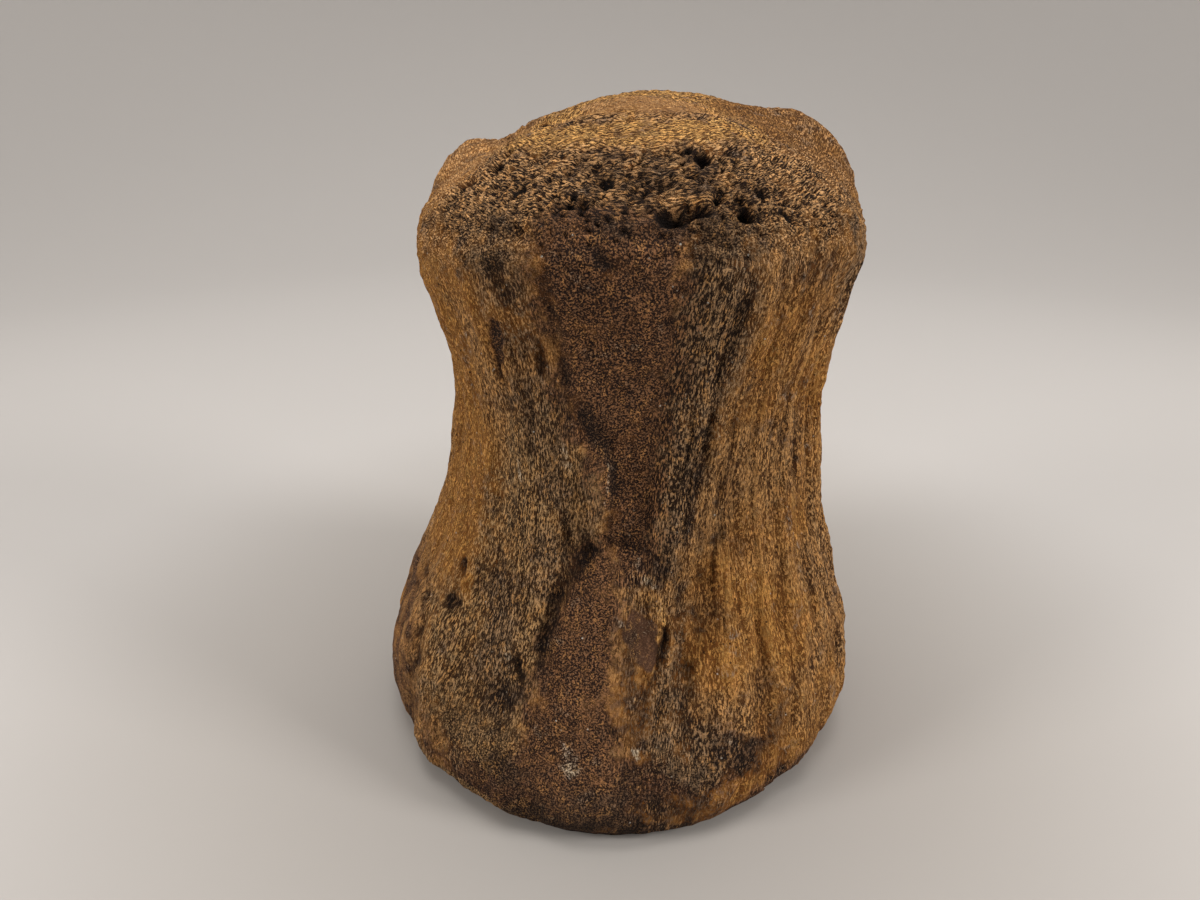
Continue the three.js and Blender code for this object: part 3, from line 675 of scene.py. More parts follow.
@dataclass
class Bone:
    """The whole bone: a fine grid laid over its solid, and then carved.

    Args:
        spokes: How many columns of faces run round it.
        flank_rings: How many rings of faces the flank has.
        rim_rings: How many narrow ones the head face has along its worn rim.
        head_rings: How many it has inside those.
        sole_rings: How many the sole has.
        rim_step: The width of a narrow ring.
        start_radius: The radius of the cylinder that it starts as.
        start_low: The height of that cylinder's lower end.
        start_high: The height of its upper end.
        ring_shares: Shares of the height, and those that the rings there are moved to, nearer the head.
        widths: Shares of the height, and the width of the spool there as a share of the cylinder's.
        lean: How far its head lies to the right of its foot.
        dome: How high the middle of its head face stands.
        wraps: How many times it is laid on the solid.
        smoothing: How many smoothing steps follow each time.
        relief: The roughness of its skin.
    """

    name: str = "fossil_bone"
    spokes: int = 440
    flank_rings: int = 101
    rim_rings: int = 40
    head_rings: int = 10
    sole_rings: int = 18
    rim_step: float = 0.5 * MM
    start_radius: float = 34 * MM
    start_low: float = 1 * MM
    start_high: float = 97 * MM
    ring_shares: Table = ((0.0, 0.7, 1.0), (0.0, 0.83, 1.0))
    widths: Table = ((0.0, 0.08, 0.25, 0.6, 0.8, 0.92, 1.0), (1.2, 1.27, 1.12, 0.92, 0.98, 1.04, 1.0))
    lean: float = 2.5 * MM
    dome: float = 11 * MM
    wraps: int = 2
    smoothing: int = 14
    relief: Relief = field(default_factory=Relief)

    # Zones of the head face, in mm past its worn edge, and its lobes, in degrees.
    ON_FLANK = (6.0, 0.0)
    OVER_EDGE = (-2.0, 5.0)
    RIM = Band((-4.0, 5.0), (36.0, 28.0))
    WORN_RIM = Band((-11.0, 3.0), (21.0, 13.0))
    THIN_RING = Band((23.6, 25.6), (29.6, 27.6))
    GOLDEN_RING = Band((11.0, 17.0), (33.0, 27.0))
    PALE_DOME = (22.0, 34.0)
    RIGHT_LOBE = Band((50.0, 75.0), (150.0, 125.0))
    LEFT_LOBE = Band((-150.0, -125.0), (-60.0, -80.0))
    LOBE_RADIUS = (9.0, 27.0)
    DARK_CORE = (42.0, 12.0)
    CORE_BEARING = 6.0
    # How far round the front and the back reach, in degrees.
    FRONT = (85.0, 45.0)
    BACK = (110.0, 150.0)
    FOOT_FRONT = (60.0, 25.0)
    # The height of the dark foot in mm by bearing, and the shares of it over which it fades; its dark is a
    # stain, with painted shade near the floor.
    FOOT_TOP = ((-80, -48, 0, 10, 24, 50), (10, 22, 24, 25, 19, 9))
    FOOT_FADE = (1.2, 0.45)
    FIBRES = (1.0, -12.0)
    OFF_FLOOR = (0.3, 4.0)
    BRIGHT_HIDES = 0.9

    def start(self) -> bpy.types.Object:
        """Models a cylinder with rings round its flank and insets in its ends.

        Returns:
            The new object, at the origin.
        """
        bpy.ops.object.select_all(action="DESELECT")
        bpy.ops.mesh.primitive_cylinder_add(
            vertices=self.spokes,
            radius=self.start_radius,
            depth=self.start_high - self.start_low,
            end_fill_type="NGON",
            location=(0.0, 0.0, 0.5 * (self.start_low + self.start_high)),
        )
        bone = bpy.context.object
        bone.name = self.name
        bone.data.name = self.name
        bpy.ops.object.transform_apply(location=True, rotation=True, scale=True)
        self.select_edges(bone, lambda a, b: abs(a.z - b.z) > 0.5 * (self.start_high - self.start_low))
        bpy.ops.object.mode_set(mode="EDIT")
        bpy.ops.mesh.subdivide(number_cuts=self.flank_rings - 1)
        bpy.ops.object.mode_set(mode="OBJECT")
        inner = (self.start_radius - self.rim_rings * self.rim_step) / (self.head_rings + 0.6)
        head = [self.rim_step] * self.rim_rings + [inner] * self.head_rings
        sole = [self.start_radius / (self.sole_rings + 0.6)] * self.sole_rings
        for height, steps in ((self.start_high, head), (self.start_low, sole)):
            self.select_cap(bone, height)
            bpy.ops.object.mode_set(mode="EDIT")
            for step in steps:
                bpy.ops.mesh.inset(thickness=step, depth=0.0)
            bpy.ops.mesh.poke()
            bpy.ops.object.mode_set(mode="OBJECT")
        return bone

    @staticmethod
    def select_edges(bone: bpy.types.Object, wanted: Callable[[Vector, Vector], bool]) -> None:
        """Selects the edges whose two ends pass a test, and nothing else.

        Args:
            bone: The object.
            wanted: The test of an edge's two ends.
        """
        points = bone.data.vertices
        bpy.ops.object.mode_set(mode="EDIT")
        bpy.ops.mesh.select_mode(type="EDGE")
        bpy.ops.mesh.select_all(action="DESELECT")
        bpy.ops.object.mode_set(mode="OBJECT")
        for edge in bone.data.edges:
            edge.select = wanted(points[edge.vertices[0]].co, points[edge.vertices[1]].co)

    @staticmethod
    def select_cap(bone: bpy.types.Object, height: float) -> None:
        """Selects the face that closes one end, and nothing else.

        Args:
            bone: The object.
            height: The height of that end.
        """
        bpy.ops.object.mode_set(mode="EDIT")
        bpy.ops.mesh.select_mode(type="FACE")
        bpy.ops.mesh.select_all(action="DESELECT")
        bpy.ops.object.mode_set(mode="OBJECT")
        for face in bone.data.polygons:
            face.select = len(face.vertices) > 4 and abs(face.center.z - height) < MM

    def pull_in(self, bone: bpy.types.Object) -> None:
        """Gives the cylinder its waist, foot and dome, so that each ring lies near its place on the solid.

        Args:
            bone: The cylinder.
        """
        place = np.empty(len(bone.data.vertices) * 3, "f")
        bone.data.vertices.foreach_get("co", place)
        place = place.reshape(-1, 3)
        place[:, 2] = self.start_high * np.interp(place[:, 2] / self.start_high, *self.ring_shares)
        up = np.clip(place[:, 2] / self.start_high, 0.0, 1.0)
        radius = np.hypot(place[:, 0], place[:, 1]) / self.start_radius
        place[:, :2] *= np.interp(up, *self.widths)[:, None]
        place[:, 0] += self.lean * up
        place[:, 2] += np.where(up > 0.999, self.dome * (1 - radius**2), 0.0)
        bone.data.vertices.foreach_set("co", place.ravel())

    def wrap(self, bone: bpy.types.Object) -> None:
        """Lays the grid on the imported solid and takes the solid's facets out of it.

        Args:
            bone: The grid.
        """
        solid = bpy.data.objects[NODE]
        form = bpy.data.objects.new("form", solid.data.copy())
        bpy.context.collection.objects.link(form)
        bpy.ops.object.select_all(action="DESELECT")
        form.select_set(True)
        bpy.context.view_layer.objects.active = form
        bpy.ops.object.mode_set(mode="EDIT")
        bpy.ops.mesh.select_all(action="SELECT")
        bpy.ops.mesh.remove_doubles(threshold=1e-6)
        bpy.ops.object.mode_set(mode="OBJECT")
        form.select_set(False)
        bone.select_set(True)
        bpy.context.view_layer.objects.active = bone
        for _ in range(self.wraps):
            self.apply(bone, "SHRINKWRAP", target=form, wrap_method="TARGET_PROJECT")
            self.apply(bone, "SMOOTH", factor=0.5, iterations=self.smoothing)
        bpy.data.objects.remove(form)

    @staticmethod
    def apply(bone: bpy.types.Object, kind: str, **settings: object) -> None:
        """Adds a modifier and applies it.

        Args:
            bone: The object, which is the active one.
            kind: The modifier's type.
            **settings: Properties that are set on it.
        """
        modifier = bone.modifiers.new(kind.lower(), kind)
        for name, value in settings.items():
            setattr(modifier, name, value)
        bpy.ops.object.modifier_apply(modifier=modifier.name)

    def paint(self, bone: bpy.types.Object) -> None:
        """Marks the zones on the skin, and notes where each point of it was before the carving.

        Args:
            bone: The grid, lying on the solid.
        """
        survey = Survey.of(bone.data)
        zones = {zone: np.zeros(len(survey.place)) for zone in Zone}
        carving = self.paint_marks(survey, zones)
        self.paint_foot(survey, zones)
        bright = np.maximum(zones[Zone.ORANGE], zones[Zone.GOLD])
        for zone in (Zone.CANAL, Zone.PEPPER, Zone.SCAR, Zone.FOOT):
            zones[zone] *= 1.0 - self.BRIGHT_HIDES * bright
        self.paint_head(survey, zones)
        smooth = np.maximum(zones[Zone.CANAL], np.maximum(zones[Zone.FACET], 0.8 * zones[Zone.FOOT]))
        sides = 0.75 + 0.35 * np.sin(np.radians(survey.bearing))
        zones[Zone.FIBRE] = (1.0 - 0.85 * smooth) * sides * smooth_step(survey.inward, *self.FIBRES)
        carving -= self.paint_pits(survey, zones)
        self.store(bone, "rim", self.RIM.of(survey.inward))
        self.store(bone, "carving", carving)
        self.store(bone, "free", smooth_step(survey.place[:, 2], *self.OFF_FLOOR))
        for zone, value in zones.items():
            self.store(bone, zone.value, np.clip(value, 0.0, 1.0))
        self.store_places(bone, survey)

    def paint_marks(self, survey: Survey, zones: dict[Zone, np.ndarray]) -> np.ndarray:
        """Paints the marks of the flank.

        Args:
            survey: The points of the skin.
            zones: What is painted.

        Returns:
            How far each point is raised, in mm.
        """
        carving = np.zeros(len(survey.place))
        flank = smooth_step(survey.inward, *self.ON_FLANK)
        for mark in MARKS:
            share = survey.near(mark.path, mark.soft) * flank
            carving += mark.rise * share
            if mark.zone:
                zones[mark.zone] = np.maximum(zones[mark.zone], mark.strength * share)
        return carving

    def paint_head(self, survey: Survey, zones: dict[Zone, np.ndarray]) -> None:
        """Paints the worn rim, the golden ring, the pale dome and the two lobes.

        Args:
            survey: The points of the skin.
            zones: What is painted.
        """
        inward = survey.inward
        side = np.abs(survey.bearing)
        front = smooth_step(side, *self.FRONT)
        worn = self.WORN_RIM.of(inward)
        ring = 0.6 * self.THIN_RING.of(inward) * front
        share = 0.3 + 0.7 * front + 0.3 * smooth_step(side, *self.BACK)
        zones[Zone.SPONGE] = np.maximum(worn * share, ring)
        core = 0.42 * worn * smooth_step(np.abs(survey.bearing - self.CORE_BEARING), *self.DARK_CORE)
        zones[Zone.STAIN_AND_SHADE] = np.maximum(zones[Zone.STAIN_AND_SHADE], core)
        outer = smooth_step(np.hypot(survey.place[:, 0], survey.place[:, 1]), *self.LOBE_RADIUS)
        right_lobe = self.RIGHT_LOBE.of(survey.bearing) * outer
        left_lobe = self.LEFT_LOBE.of(survey.bearing) * outer
        over_edge = smooth_step(inward, *self.OVER_EDGE)
        zones[Zone.RUST] = right_lobe * over_edge
        zones[Zone.GOLD] = np.maximum(zones[Zone.GOLD], self.GOLDEN_RING.of(inward) * (1.0 - right_lobe))
        pale = smooth_step(inward, *self.PALE_DOME) * (1.0 - 0.9 * right_lobe)
        zones[Zone.PALE] = np.maximum(pale, 0.8 * left_lobe * over_edge)

    def paint_foot(self, survey: Survey, zones: dict[Zone, np.ndarray]) -> None:
        """Paints the foot darker towards the floor: a dark stain, with painted shade low down.

        Args:
            survey: The points of the skin.
            zones: What is painted.
        """
        top = np.interp(survey.bearing, *self.FOOT_TOP)
        front = smooth_step(np.abs(survey.bearing), *self.FOOT_FRONT)
        zones[Zone.FOOT] = smooth_step(survey.place[:, 2] / top, *self.FOOT_FADE) * (0.5 + 0.5 * front)

    def paint_pits(self, survey: Survey, zones: dict[Zone, np.ndarray]) -> np.ndarray:
        """Paints the pits of the worn rim near-black, as painted shade inside them.

        Args:
            survey: The points of the skin.
            zones: What is painted.

        Returns:
            How far each point is sunk, in mm.
        """
        depth = np.zeros(len(survey.place))
        for pit in RIM_PITS:
            middle = survey.nearest(pit.x, pit.y, pit.z)
            size = (pit.wide, 0.5 * (pit.wide + pit.tall), pit.tall)
            off = (survey.place + 0.6 * survey.wander - middle) / size
            share = np.exp(-1.6 * (off**2).sum(1) ** 2)
            depth += pit.deep * share
            zones[Zone.HOLE_SHADE] = np.maximum(zones[Zone.HOLE_SHADE], share)
        return depth

    @staticmethod
    def store(bone: bpy.types.Object, name: str, values: np.ndarray) -> None:
        """Keeps one number for each point in the mesh."""
        layer = bone.data.attributes.new(name, "FLOAT", "POINT")
        layer.data.foreach_set("value", values.astype("f"))

    @staticmethod
    def store_places(bone: bpy.types.Object, survey: Survey) -> None:
        """Keeps the place of each point, and its place along and across the fibres, in mm.

        Args:
            bone: The grid.
            survey: The points of its skin.
        """
        z = survey.place[:, 2]
        lean = 0.16 * (z - 46.0) * np.exp(-(((survey.bearing - 15.0) / 15.0) ** 2))
        turn = np.radians(survey.bearing - lean)
        radius = survey.NOMINAL_RADIUS
        along = np.stack((radius * np.sin(turn), -radius * np.cos(turn), z), 1)
        along += smooth_step(survey.inward, 2.0, 14.0)[:, None] * (survey.place - along)
        profile = np.hypot(survey.place[:, 0], survey.place[:, 1]) - z
        around = np.stack((0.45 * along[:, 0], 0.45 * along[:, 1], profile), 1)
        for name, values in ((REST_PLACE, survey.place), (FIBRE_PLACE, along), (RIM_PLACE, around)):
            layer = bone.data.attributes.new(name, "FLOAT_VECTOR", "POINT")
            layer.data.foreach_set("vector", values.astype("f").ravel())

    def build(self) -> bpy.types.Object:
        """Models the bone.

        Returns:
            The finished mesh, not yet dressed.
        """
        bone = self.start()
        self.pull_in(bone)
        self.wrap(bone)
        self.paint(bone)
        modifier = bone.modifiers.new("relief", "NODES")
        modifier.node_group = self.relief.tree()
        bpy.ops.object.modifier_apply(modifier=modifier.name)
        self.settle(bone)
        bpy.ops.object.shade_smooth()
        return bone

    @staticmethod
    def settle(bone: bpy.types.Object) -> None:
        """Keeps the whole skin on or above the floor.

        Args:
            bone: The carved grid.
        """
        place = np.empty(len(bone.data.vertices) * 3, "f")
        bone.data.vertices.foreach_get("co", place)
        place[2::3] = np.maximum(place[2::3], 0.0)
        bone.data.vertices.foreach_set("co", place)
        bone.data.update()


@dataclass(frozen=True)
class Layer:
    """One kind of surface as the eye sees it: pale threads over dark pores.

    Args:
        zone: Where it is, or None for the ground that the others lie on.
        pore: The colour of its pores, linear.
        thread: The colour of its threads, linear.
        open: The share of it that is pore, where 0.5 is half.
        ragged: How far its edge wanders.
        share: How fully it covers what lies under it.
    """

    zone: Zone | None
    pore: Colour
    thread: Colour
    open: float
    ragged: float = 1.5
    share: float = 1.0


LAYERS = (
    Layer(None, (0.062, 0.026, 0.009), (0.575, 0.318, 0.128), 0.38),
    Layer(Zone.ORANGE, (0.190, 0.073, 0.016), (0.580, 0.290, 0.078), 0.38, 1.0),
    Layer(Zone.GOLD, (0.060, 0.024, 0.008), (0.860, 0.480, 0.160), 0.42, 2.4),
    Layer(Zone.RUST, (0.100, 0.040, 0.011), (0.385, 0.190, 0.060), 0.43, 0.8),
    Layer(Zone.PALE, (0.250, 0.114, 0.038), (0.740, 0.412, 0.172), 0.42, 2.4),
    Layer(Zone.SPONGE, (0.016, 0.008, 0.005), (0.700, 0.400, 0.180), 0.51, 2.6),
    # The foot, darker towards the floor: a dark stain, with painted shade low down.
    Layer(Zone.FOOT, (0.014, 0.007, 0.005), (0.260, 0.128, 0.068), 0.56, 2.4),
    Layer(Zone.PEPPER, (0.030, 0.016, 0.008), (0.540, 0.328, 0.150), 0.47, 2.0, 0.9),
    Layer(Zone.SCAR, (0.022, 0.012, 0.007), (0.430, 0.265, 0.138), 0.49, 2.0),
    Layer(Zone.CANAL, (0.015, 0.007, 0.005), (0.290, 0.142, 0.066), 0.53, 2.2),
    Layer(Zone.FACET, (0.100, 0.050, 0.030), (0.175, 0.090, 0.052), 0.44, 0.3),
    # Dark stains, and painted shade in sunk grooves, creases and recesses.
    Layer(Zone.STAIN_AND_SHADE, (0.014, 0.008, 0.006), (0.170, 0.098, 0.055), 0.57, 2.0, 0.85),
    # Near-black painted shade inside holes and pits, and along the bottom edge of the foot.
    Layer(Zone.HOLE_SHADE, (0.012, 0.007, 0.005), (0.030, 0.018, 0.012), 0.60, 0.8),
    Layer(Zone.CRUST, (0.180, 0.125, 0.075), (0.640, 0.530, 0.400), 0.42, 1.6),
)


@dataclass(frozen=True)
class FossilFinish:
    """Dry mineralised bone: a fabric of threads and pores, tinted by zone, with shade painted into the
    hollows of the carved skin. Sizes are in mm.
    """

    thread_pitch: float = 0.22
    thread_length: float = 3.4
    crumb_pitch: float = 0.27
    rim_pitch: float = 0.34
    fine_pitch: float = 0.2
    pin_pitch: float = 0.5
    pin_share: float = 0.5
    pore_pitch: float = 1.0
    pore_share: float = 0.3
    pore_colour: Colour = (0.022, 0.011, 0.007)
    patch_pitch: float = 2.6
    streak_pitch: float = 0.75
    streak_length: float = 14.0
    tint_pitch: float = 1.3
    ragged_pitch: float = 4.0
    broad_pitch: float = 15.0
    fine_share: float = 0.22
    streak_weight: float = 1.1
    patch_weight: float = 0.3
    # How much the tone darkens in the hollows of the relief: painted shade.
    hollow_shade_weight: float = 0.15
    crest_weight: float = 0.04
    contrast: tuple[float, float] = (-0.27, 0.35)
    thread_bump: float = 0.32
    fine_bump: float = 0.05
    golden: Colour = (1.25, 1.10, 0.85)
    greyish: Colour = (0.85, 0.92, 1.05)
    grain_pitch: float = 0.7
    grain_share: float = 0.12
    grain_colour: Colour = (0.40, 0.34, 0.27)
    salt_pitch: float = 0.8
    salt_share: float = 0.025
    salt_colour: Colour = (0.62, 0.58, 0.52)
    shadow: Colour = (0.46, 0.42, 0.40)
    warmth: Colour = (0.97, 0.925, 0.86)

    @staticmethod
    def group(name: str, inputs: dict[str, str], output: str) -> tuple[bpy.types.NodeTree, Wiring]:
        """Starts a shader node group that puts out one number.

        Args:
            name: Its name.
            inputs: The name and kind of each input.
            output: The name of its output.

        Returns:
            The group and its wiring.
        """
        tree = bpy.data.node_groups.new(name, "ShaderNodeTree")
        for socket, kind in inputs.items():
            tree.interface.new_socket(socket, in_out="INPUT", socket_type=f"NodeSocket{kind}")
        tree.interface.new_socket(output, in_out="OUTPUT", socket_type="NodeSocketFloat")
        return tree, Wiring(tree)

    def threads_group(self) -> bpy.types.NodeTree:
        """Builds the fabric of the bone.

        Returns:
            A group that turns a place, a pitch and a length into a height between 0 and 1.
        """
        inputs = {"Place": "Vector", "Pitch": "Float", "Length": "Float"}
        tree, wiring = self.group("bone_threads", inputs, "Height")
        given = wiring.add("NodeGroupInput").outputs
        place = wiring.stretch(given["Place"], given["Pitch"], given["Length"])
        height = wiring.ramp(wiring.noise(place, 2.0, 0.65), 0.33, 0.67)
        wiring.put(wiring.add("NodeGroupOutput").inputs[0], height)
        return tree

    def specks_group(self) -> bpy.types.NodeTree:
        """Builds tiny round specks.

        Returns:
            A group that turns a place, a pitch and a share into a mask.
        """
        inputs = {"Place": "Vector", "Pitch": "Float", "Share": "Float"}
        tree, wiring = self.group("bone_specks", inputs, "Speck")
        given = wiring.add("NodeGroupInput").outputs
        cells = wiring.cells(wiring.stretch(given["Place"], given["Pitch"], 1.0))
        chance = wiring.add("ShaderNodeSeparateColor")
        wiring.put(chance.inputs[0], cells.outputs["Color"])
        there = wiring.calc("LESS_THAN", chance.outputs[0], given["Share"])
        dot = wiring.ramp(cells.outputs["Distance"], 0.1, 0.24, 1.0, 0.0)
        wiring.put(wiring.add("NodeGroupOutput").inputs[0], wiring.product(there, dot))
        return tree

    def build(self) -> bpy.types.Material:
        """Builds the material.

        Returns:
            The finish of the whole bone.
        """
        material = bpy.data.materials.new("weathered_fossil_bone")
        material.use_nodes = True
        tree = material.node_tree
        tree.nodes.clear()
        wiring = Wiring(tree)
        groups = {"threads": self.threads_group(), "specks": self.specks_group()}

        def read(name: str, vector: bool = False) -> Socket:
            """Reads one of the mesh's attributes."""
            node = wiring.add("ShaderNodeAttribute", attribute_name=name)
            return node.outputs["Vector" if vector else "Fac"]

        def use(name: str, **values: object) -> Socket:
            """Places one of the groups.

            Args:
                name: Which one.
                **values: Its inputs, by their names in small letters.

            Returns:
                Its result.
            """
            node = wiring.add("ShaderNodeGroup", node_tree=groups[name])
            for socket, value in values.items():
                wiring.put(node.inputs[socket.capitalize()], value)
            return node.outputs[0]

        rest = read(REST_PLACE, True)
        fibre_place = read(FIBRE_PLACE, True)
        rim_place = read(RIM_PLACE, True)
        fibre = read(Zone.FIBRE.value)
        rim = read("rim")

        ragged = wiring.noise(wiring.stretch(rest, self.ragged_pitch, 1.0), 4.0, 0.65)
        broad = wiring.noise(wiring.stretch(rest, self.broad_pitch, 1.0), 2.0, 0.5)
        patches = wiring.noise(wiring.stretch(fibre_place, self.patch_pitch, 2.0), 3.0, 0.6)
        along = use("threads", place=fibre_place, pitch=self.thread_pitch, length=self.thread_length)
        crumbs = use("threads", place=rest, pitch=self.crumb_pitch, length=1.0)
        around = use("threads", place=rim_place, pitch=self.rim_pitch, length=0.9)
        fine = use("threads", place=rest, pitch=self.fine_pitch, length=1.0)
        fabric = wiring.blend(wiring.ramp(fibre, 0.05, 0.5), crumbs, along)
        fabric = wiring.blend(rim, fabric, around)
        fabric = wiring.blend(self.fine_share, fabric, fine)

        # Painted shade: the tone darkens in the low places of the carved relief.
        hollow_shade = wiring.ramp(read(HEIGHT), 0.1, -0.75)
        crest = wiring.ramp(read(HEIGHT), 0.1, 0.7)
        streaks = wiring.noise(wiring.stretch(fibre_place, self.streak_pitch, self.streak_length), 2.0, 0.5)
        tone = wiring.total(
            fabric,
            wiring.product(
                wiring.calc("SUBTRACT", streaks, 0.5), wiring.ramp(fibre, 0.3, 1.0), self.streak_weight
            ),
            wiring.product(wiring.calc("SUBTRACT", patches, 0.5), self.patch_weight),
            wiring.product(hollow_shade, -self.hollow_shade_weight),
            wiring.product(crest, self.crest_weight),
        )

        edge_noise = wiring.total(
            wiring.calc("SUBTRACT", ragged, 0.5), wiring.product(wiring.calc("SUBTRACT", fabric, 0.5), 0.25)
        )
        ground = LAYERS[0]
        dark = wiring.between(wiring.ramp(broad, 0.4, 0.62), ground.pore, LAYERS[1].pore)
        light = wiring.between(wiring.ramp(broad, 0.36, 0.66), ground.thread, LAYERS[1].thread)
        opening = ground.open
        masks: dict[Zone, Socket] = {}
        for layer in LAYERS[1:]:
            covered = wiring.total(read(layer.zone.value), wiring.product(edge_noise, layer.ragged))
            mask = wiring.product(wiring.ramp(covered, 0.25, 0.75), layer.share)
            dark = wiring.between(mask, dark, layer.pore)
            light = wiring.between(mask, light, layer.thread)
            opening = wiring.blend(mask, opening, layer.open)
            masks[layer.zone] = mask

        tint = wiring.noise(wiring.stretch(fibre_place, self.tint_pitch, 1.6), 3.0, 0.7)
        golden = wiring.between(1.0, light, self.golden, "MULTIPLY")
        greyish = wiring.between(1.0, light, self.greyish, "MULTIPLY")
        light = wiring.between(wiring.ramp(tint, 0.36, 0.46), greyish, light)
        light = wiring.between(wiring.ramp(tint, 0.52, 0.66), light, golden)
        light = wiring.between(wiring.product(wiring.ramp(tint, 0.53, 0.62), 0.45), light, ground.thread)
        lit = wiring.ramp(wiring.calc("SUBTRACT", tone, opening), *self.contrast)
        colour = wiring.between(lit, dark, light)
        # Painted shade: the colour is multiplied by the shadow colour in the hollows of the relief, more in
        # the worn rim's sponge.
        depth = wiring.product(hollow_shade, wiring.total(0.55, wiring.product(masks[Zone.SPONGE], 0.4)))
        colour = wiring.between(depth, colour, self.shadow, "MULTIPLY")
        grains = use("specks", place=rest, pitch=self.grain_pitch, share=self.grain_share)
        colour = wiring.between(wiring.product(grains, masks[Zone.SCAR], 0.7), colour, self.grain_colour)
        salt = use("specks", place=rest, pitch=self.salt_pitch, share=self.salt_share)
        salt = wiring.product(salt, wiring.ramp(patches, 0.45, 0.6))
        colour = wiring.between(salt, colour, self.salt_colour)

        pins = use("specks", place=rest, pitch=self.pin_pitch, share=self.pin_share)
        pores = use("specks", place=rest, pitch=self.pore_pitch, share=self.pore_share)
        pores = wiring.calc("MAXIMUM", wiring.product(pins, 0.7), wiring.product(pores, 0.85))
        rough = wiring.product(
            wiring.blend(read(Zone.CANAL.value), 1.0, 0.5), wiring.blend(read(Zone.FACET.value), 1.0, 0.45)
        )
        pores = wiring.product(pores, rough)
        colour = wiring.between(pores, colour, self.pore_colour)
        colour = wiring.between(1.0, colour, self.warmth, "MULTIPLY")

        threads = wiring.ramp(fabric, 0.2, 0.8, 0.0, self.thread_bump)
        height = wiring.product(wiring.total(threads, wiring.product(fine, self.fine_bump)), rough)
        bump = wiring.add("ShaderNodeBump")
        bump.inputs["Strength"].default_value = 1.0
        bump.inputs["Distance"].default_value = MM
        wiring.put(bump.inputs["Height"], height)

        surface = wiring.add("ShaderNodeBsdfPrincipled")
        surface.inputs["Metallic"].default_value = 0.0
        surface.inputs["Specular IOR Level"].default_value = 0.15
        wiring.put(surface.inputs["Base Color"], colour)
        wiring.put(surface.inputs["Roughness"], wiring.ramp(read(Zone.CANAL.value), 0.0, 1.0, 0.95, 0.8))
        wiring.put(surface.inputs["Normal"], bump.outputs[0])
        wiring.put(wiring.add("ShaderNodeOutputMaterial").inputs["Surface"], surface.outputs[0])
        return material


class LampKind(str, Enum):
    """The two kinds of soft lamp: a square panel, and a wide beam that leaves the wall behind it alone."""

    PANEL = "AREA"
    BEAM = "SPOT"


@dataclass(frozen=True)
class Lamp:
    """One soft light, pointed at the bone.

    Args:
        name: Its name.
        kind: Whether it is a panel or a beam.
        place: Where it hangs, in metres.
        size: The side of a panel, or the radius of a beam's source, in metres.
        power: Its power in watts.
        aim: The point that it faces.
        spread: The full angle of a beam in degrees.
        colour: Its colour.
    """

    name: str
    kind: LampKind
    place: Point
    size: float
    power: float
    aim: Point = (0.0, 0.0, 0.05)
    spread: float = 100.0
    colour: Colour = (1.0, 0.98, 0.96)

    def hang(self) -> None:
        """Adds the lamp to the scene and points it."""
        data = bpy.data.lights.new(self.name, self.kind.value)
        if self.kind is LampKind.PANEL:
            data.shape = "SQUARE"
            data.size = self.size
        else:
            data.shadow_soft_size = self.size
            data.spot_size = math.radians(self.spread)
            data.spot_blend = 1.0
        data.energy = self.power
        data.color = self.colour
        light = bpy.data.objects.new(self.name, data)
        light.visible_camera = False
        bpy.context.collection.objects.link(light)
        light.location = self.place
        way = np.subtract(self.aim, self.place)
        flat = math.hypot(way[0], way[1])
        light.rotation_euler = (math.atan2(flat, -way[2]), 0.0, math.atan2(-way[0], way[1]))


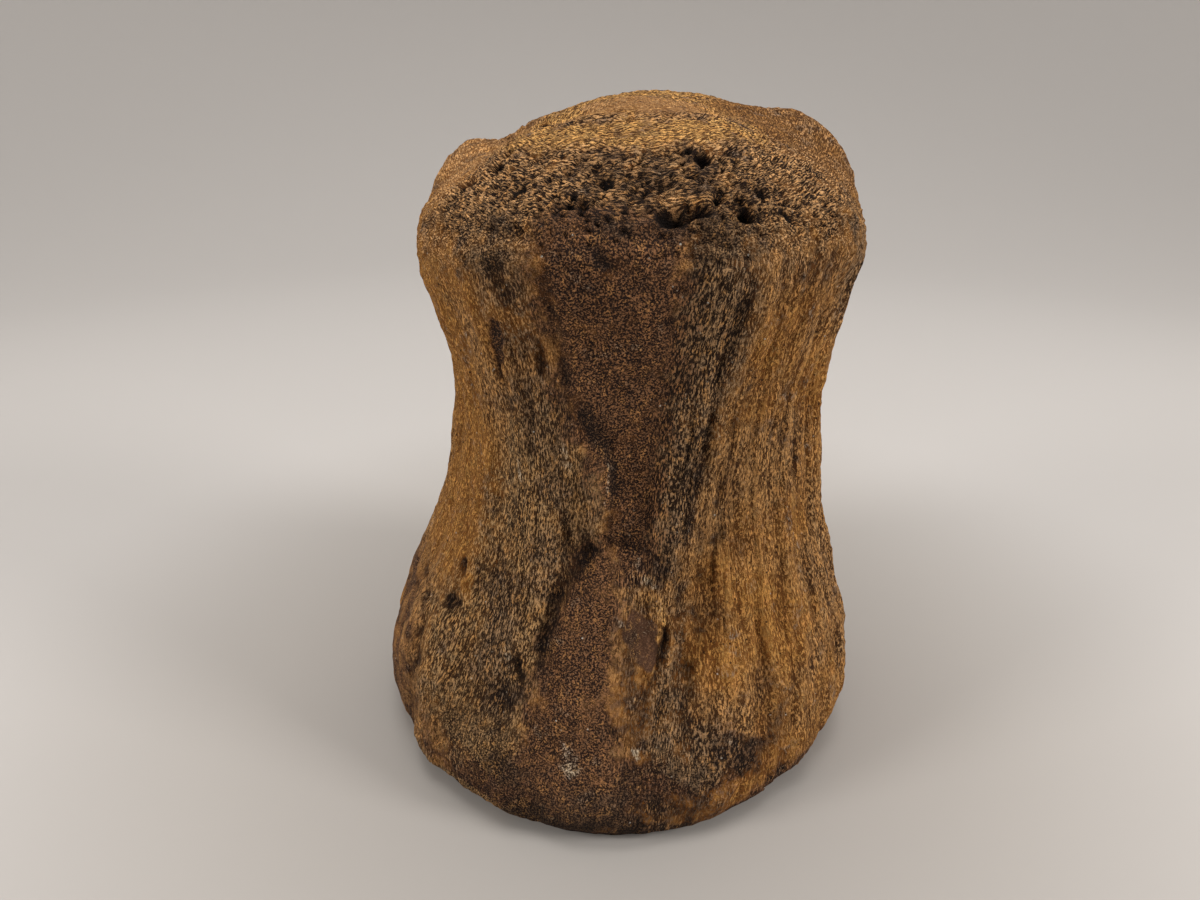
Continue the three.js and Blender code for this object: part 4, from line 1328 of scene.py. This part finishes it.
@dataclass(frozen=True)
class Studio:
    """A round pale floor that curves up into a wall on all sides, and soft light from above and both sides.

    Args:
        near_colour: The floor's colour round the bone, linear: painted shade, darker than the paper.
        far_colour: The paper's own colour away from the bone, linear.
        near: How far the first colour reaches, in metres.
        far: Where the second one starts.
        radius: How far the wall stands from the middle.
        wall_height: How high it is.
        bend: The radius of the curve between floor and wall.
        spokes: How many flat sides the round has.
        bend_steps: How many steps the curve has.
        sky: The strength of the light from all round.
        sky_colour: Its colour.
        lamps: The lamps.
    """

    near_colour: Colour = (0.418, 0.392, 0.366)
    far_colour: Colour = (0.545, 0.521, 0.500)
    near: float = 0.06
    far: float = 0.15
    radius: float = 0.9
    wall_height: float = 1.1
    bend: float = 0.5
    spokes: int = 96
    bend_steps: int = 20
    sky: float = 0.58
    sky_colour: Colour = (1.0, 0.98, 0.95)
    lamps: tuple[Lamp, ...] = (
        Lamp("overhead", LampKind.PANEL, (0.0, 0.1, 0.75), 0.5, 2.8),
        Lamp("right", LampKind.BEAM, (0.62, -0.24, 0.36), 0.12, 12.8),
        Lamp("left", LampKind.BEAM, (-0.62, -0.26, 0.36), 0.12, 9.8),
    )

    def floor(self) -> bpy.types.Object:
        """Models the floor and its wall as one sheet.

        Returns:
            The backdrop.
        """
        bpy.ops.object.select_all(action="DESELECT")
        bpy.ops.mesh.primitive_circle_add(vertices=self.spokes, radius=self.radius, fill_type="NGON")
        sheet = bpy.context.object
        sheet.name = "backdrop"
        Bone.select_edges(sheet, lambda a, b: True)
        bpy.ops.object.mode_set(mode="EDIT")
        bpy.ops.mesh.extrude_edges_move(TRANSFORM_OT_translate={"value": (0.0, 0.0, self.wall_height)})
        bpy.ops.object.mode_set(mode="OBJECT")
        Bone.select_edges(sheet, lambda a, b: a.z < self.bend and b.z < self.bend)
        bpy.ops.object.mode_set(mode="EDIT")
        bpy.ops.mesh.bevel(offset=self.bend, segments=self.bend_steps, affect="EDGES")
        bpy.ops.object.mode_set(mode="OBJECT")
        bpy.ops.object.shade_smooth()
        sheet.data.materials.append(self.paper())
        return sheet

    def paper(self) -> bpy.types.Material:
        """Builds the pale finish of the floor, with painted shade round the bone that makes it a little
        darker there than away from it.

        Returns:
            The material of the backdrop.
        """
        material = bpy.data.materials.new("pale_floor")
        material.use_nodes = True
        wiring = Wiring(material.node_tree)
        distance = wiring.add("ShaderNodeVectorMath", operation="LENGTH")
        wiring.put(distance.inputs[0], wiring.add("ShaderNodeTexCoord").outputs["Object"])
        # Painted shade: the floor darkens towards the bone.
        away = wiring.ramp(distance.outputs["Value"], self.near, self.far)
        surface = material.node_tree.nodes["Principled BSDF"]
        wiring.put(surface.inputs["Base Color"], wiring.between(away, self.near_colour, self.far_colour))
        surface.inputs["Roughness"].default_value = 0.8
        surface.inputs["Specular IOR Level"].default_value = 0.2
        return material

    def light(self) -> None:
        """Lights the scene."""
        world = bpy.data.worlds.new("room")
        bpy.context.scene.world = world
        world.use_nodes = True
        sky = world.node_tree.nodes["Background"]
        sky.inputs["Color"].default_value = (*self.sky_colour, 1.0)
        sky.inputs["Strength"].default_value = self.sky
        for lamp in self.lamps:
            lamp.hang()


@dataclass(frozen=True)
class PhotoCamera:
    """The camera of the photograph: close to the bone, a little above it, looking down."""

    image_width: float = 1200.0
    focal_pixels: float = 870.0
    sensor: float = 36.0
    place: Point = (-2.98 * MM, -143.87 * MM, 112.2 * MM)
    pitch: float = 24.0

    def build(self) -> None:
        """Places the camera and makes it the scene's own."""
        data = bpy.data.cameras.new("photo_camera")
        data.sensor_width = self.sensor
        data.lens = self.sensor * self.focal_pixels / self.image_width
        data.clip_start = 0.01
        camera = bpy.data.objects.new("photo_camera", data)
        bpy.context.collection.objects.link(camera)
        camera.location = self.place
        camera.rotation_euler = (math.radians(90.0 - self.pitch), 0.0, 0.0)
        bpy.context.scene.camera = camera


def main() -> None:
    """Builds the camera, the studio and the bone, and reports the bone."""
    logging.basicConfig(level=logging.INFO, format="%(message)s")
    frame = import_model()
    scene = bpy.context.scene
    scene.view_settings.view_transform = "Standard"
    PhotoCamera().build()
    studio = Studio()
    studio.floor()
    studio.light()
    bone = Bone().build()
    bone.data.materials.append(FossilFinish().build())
    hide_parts(NODE)
    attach(bone, "root")
    LOG.info("%s: %d faces, in place of %s", bone.name, len(bone.data.polygons), ", ".join(frame["nodes"]))


if __name__ == "__main__":
    main()
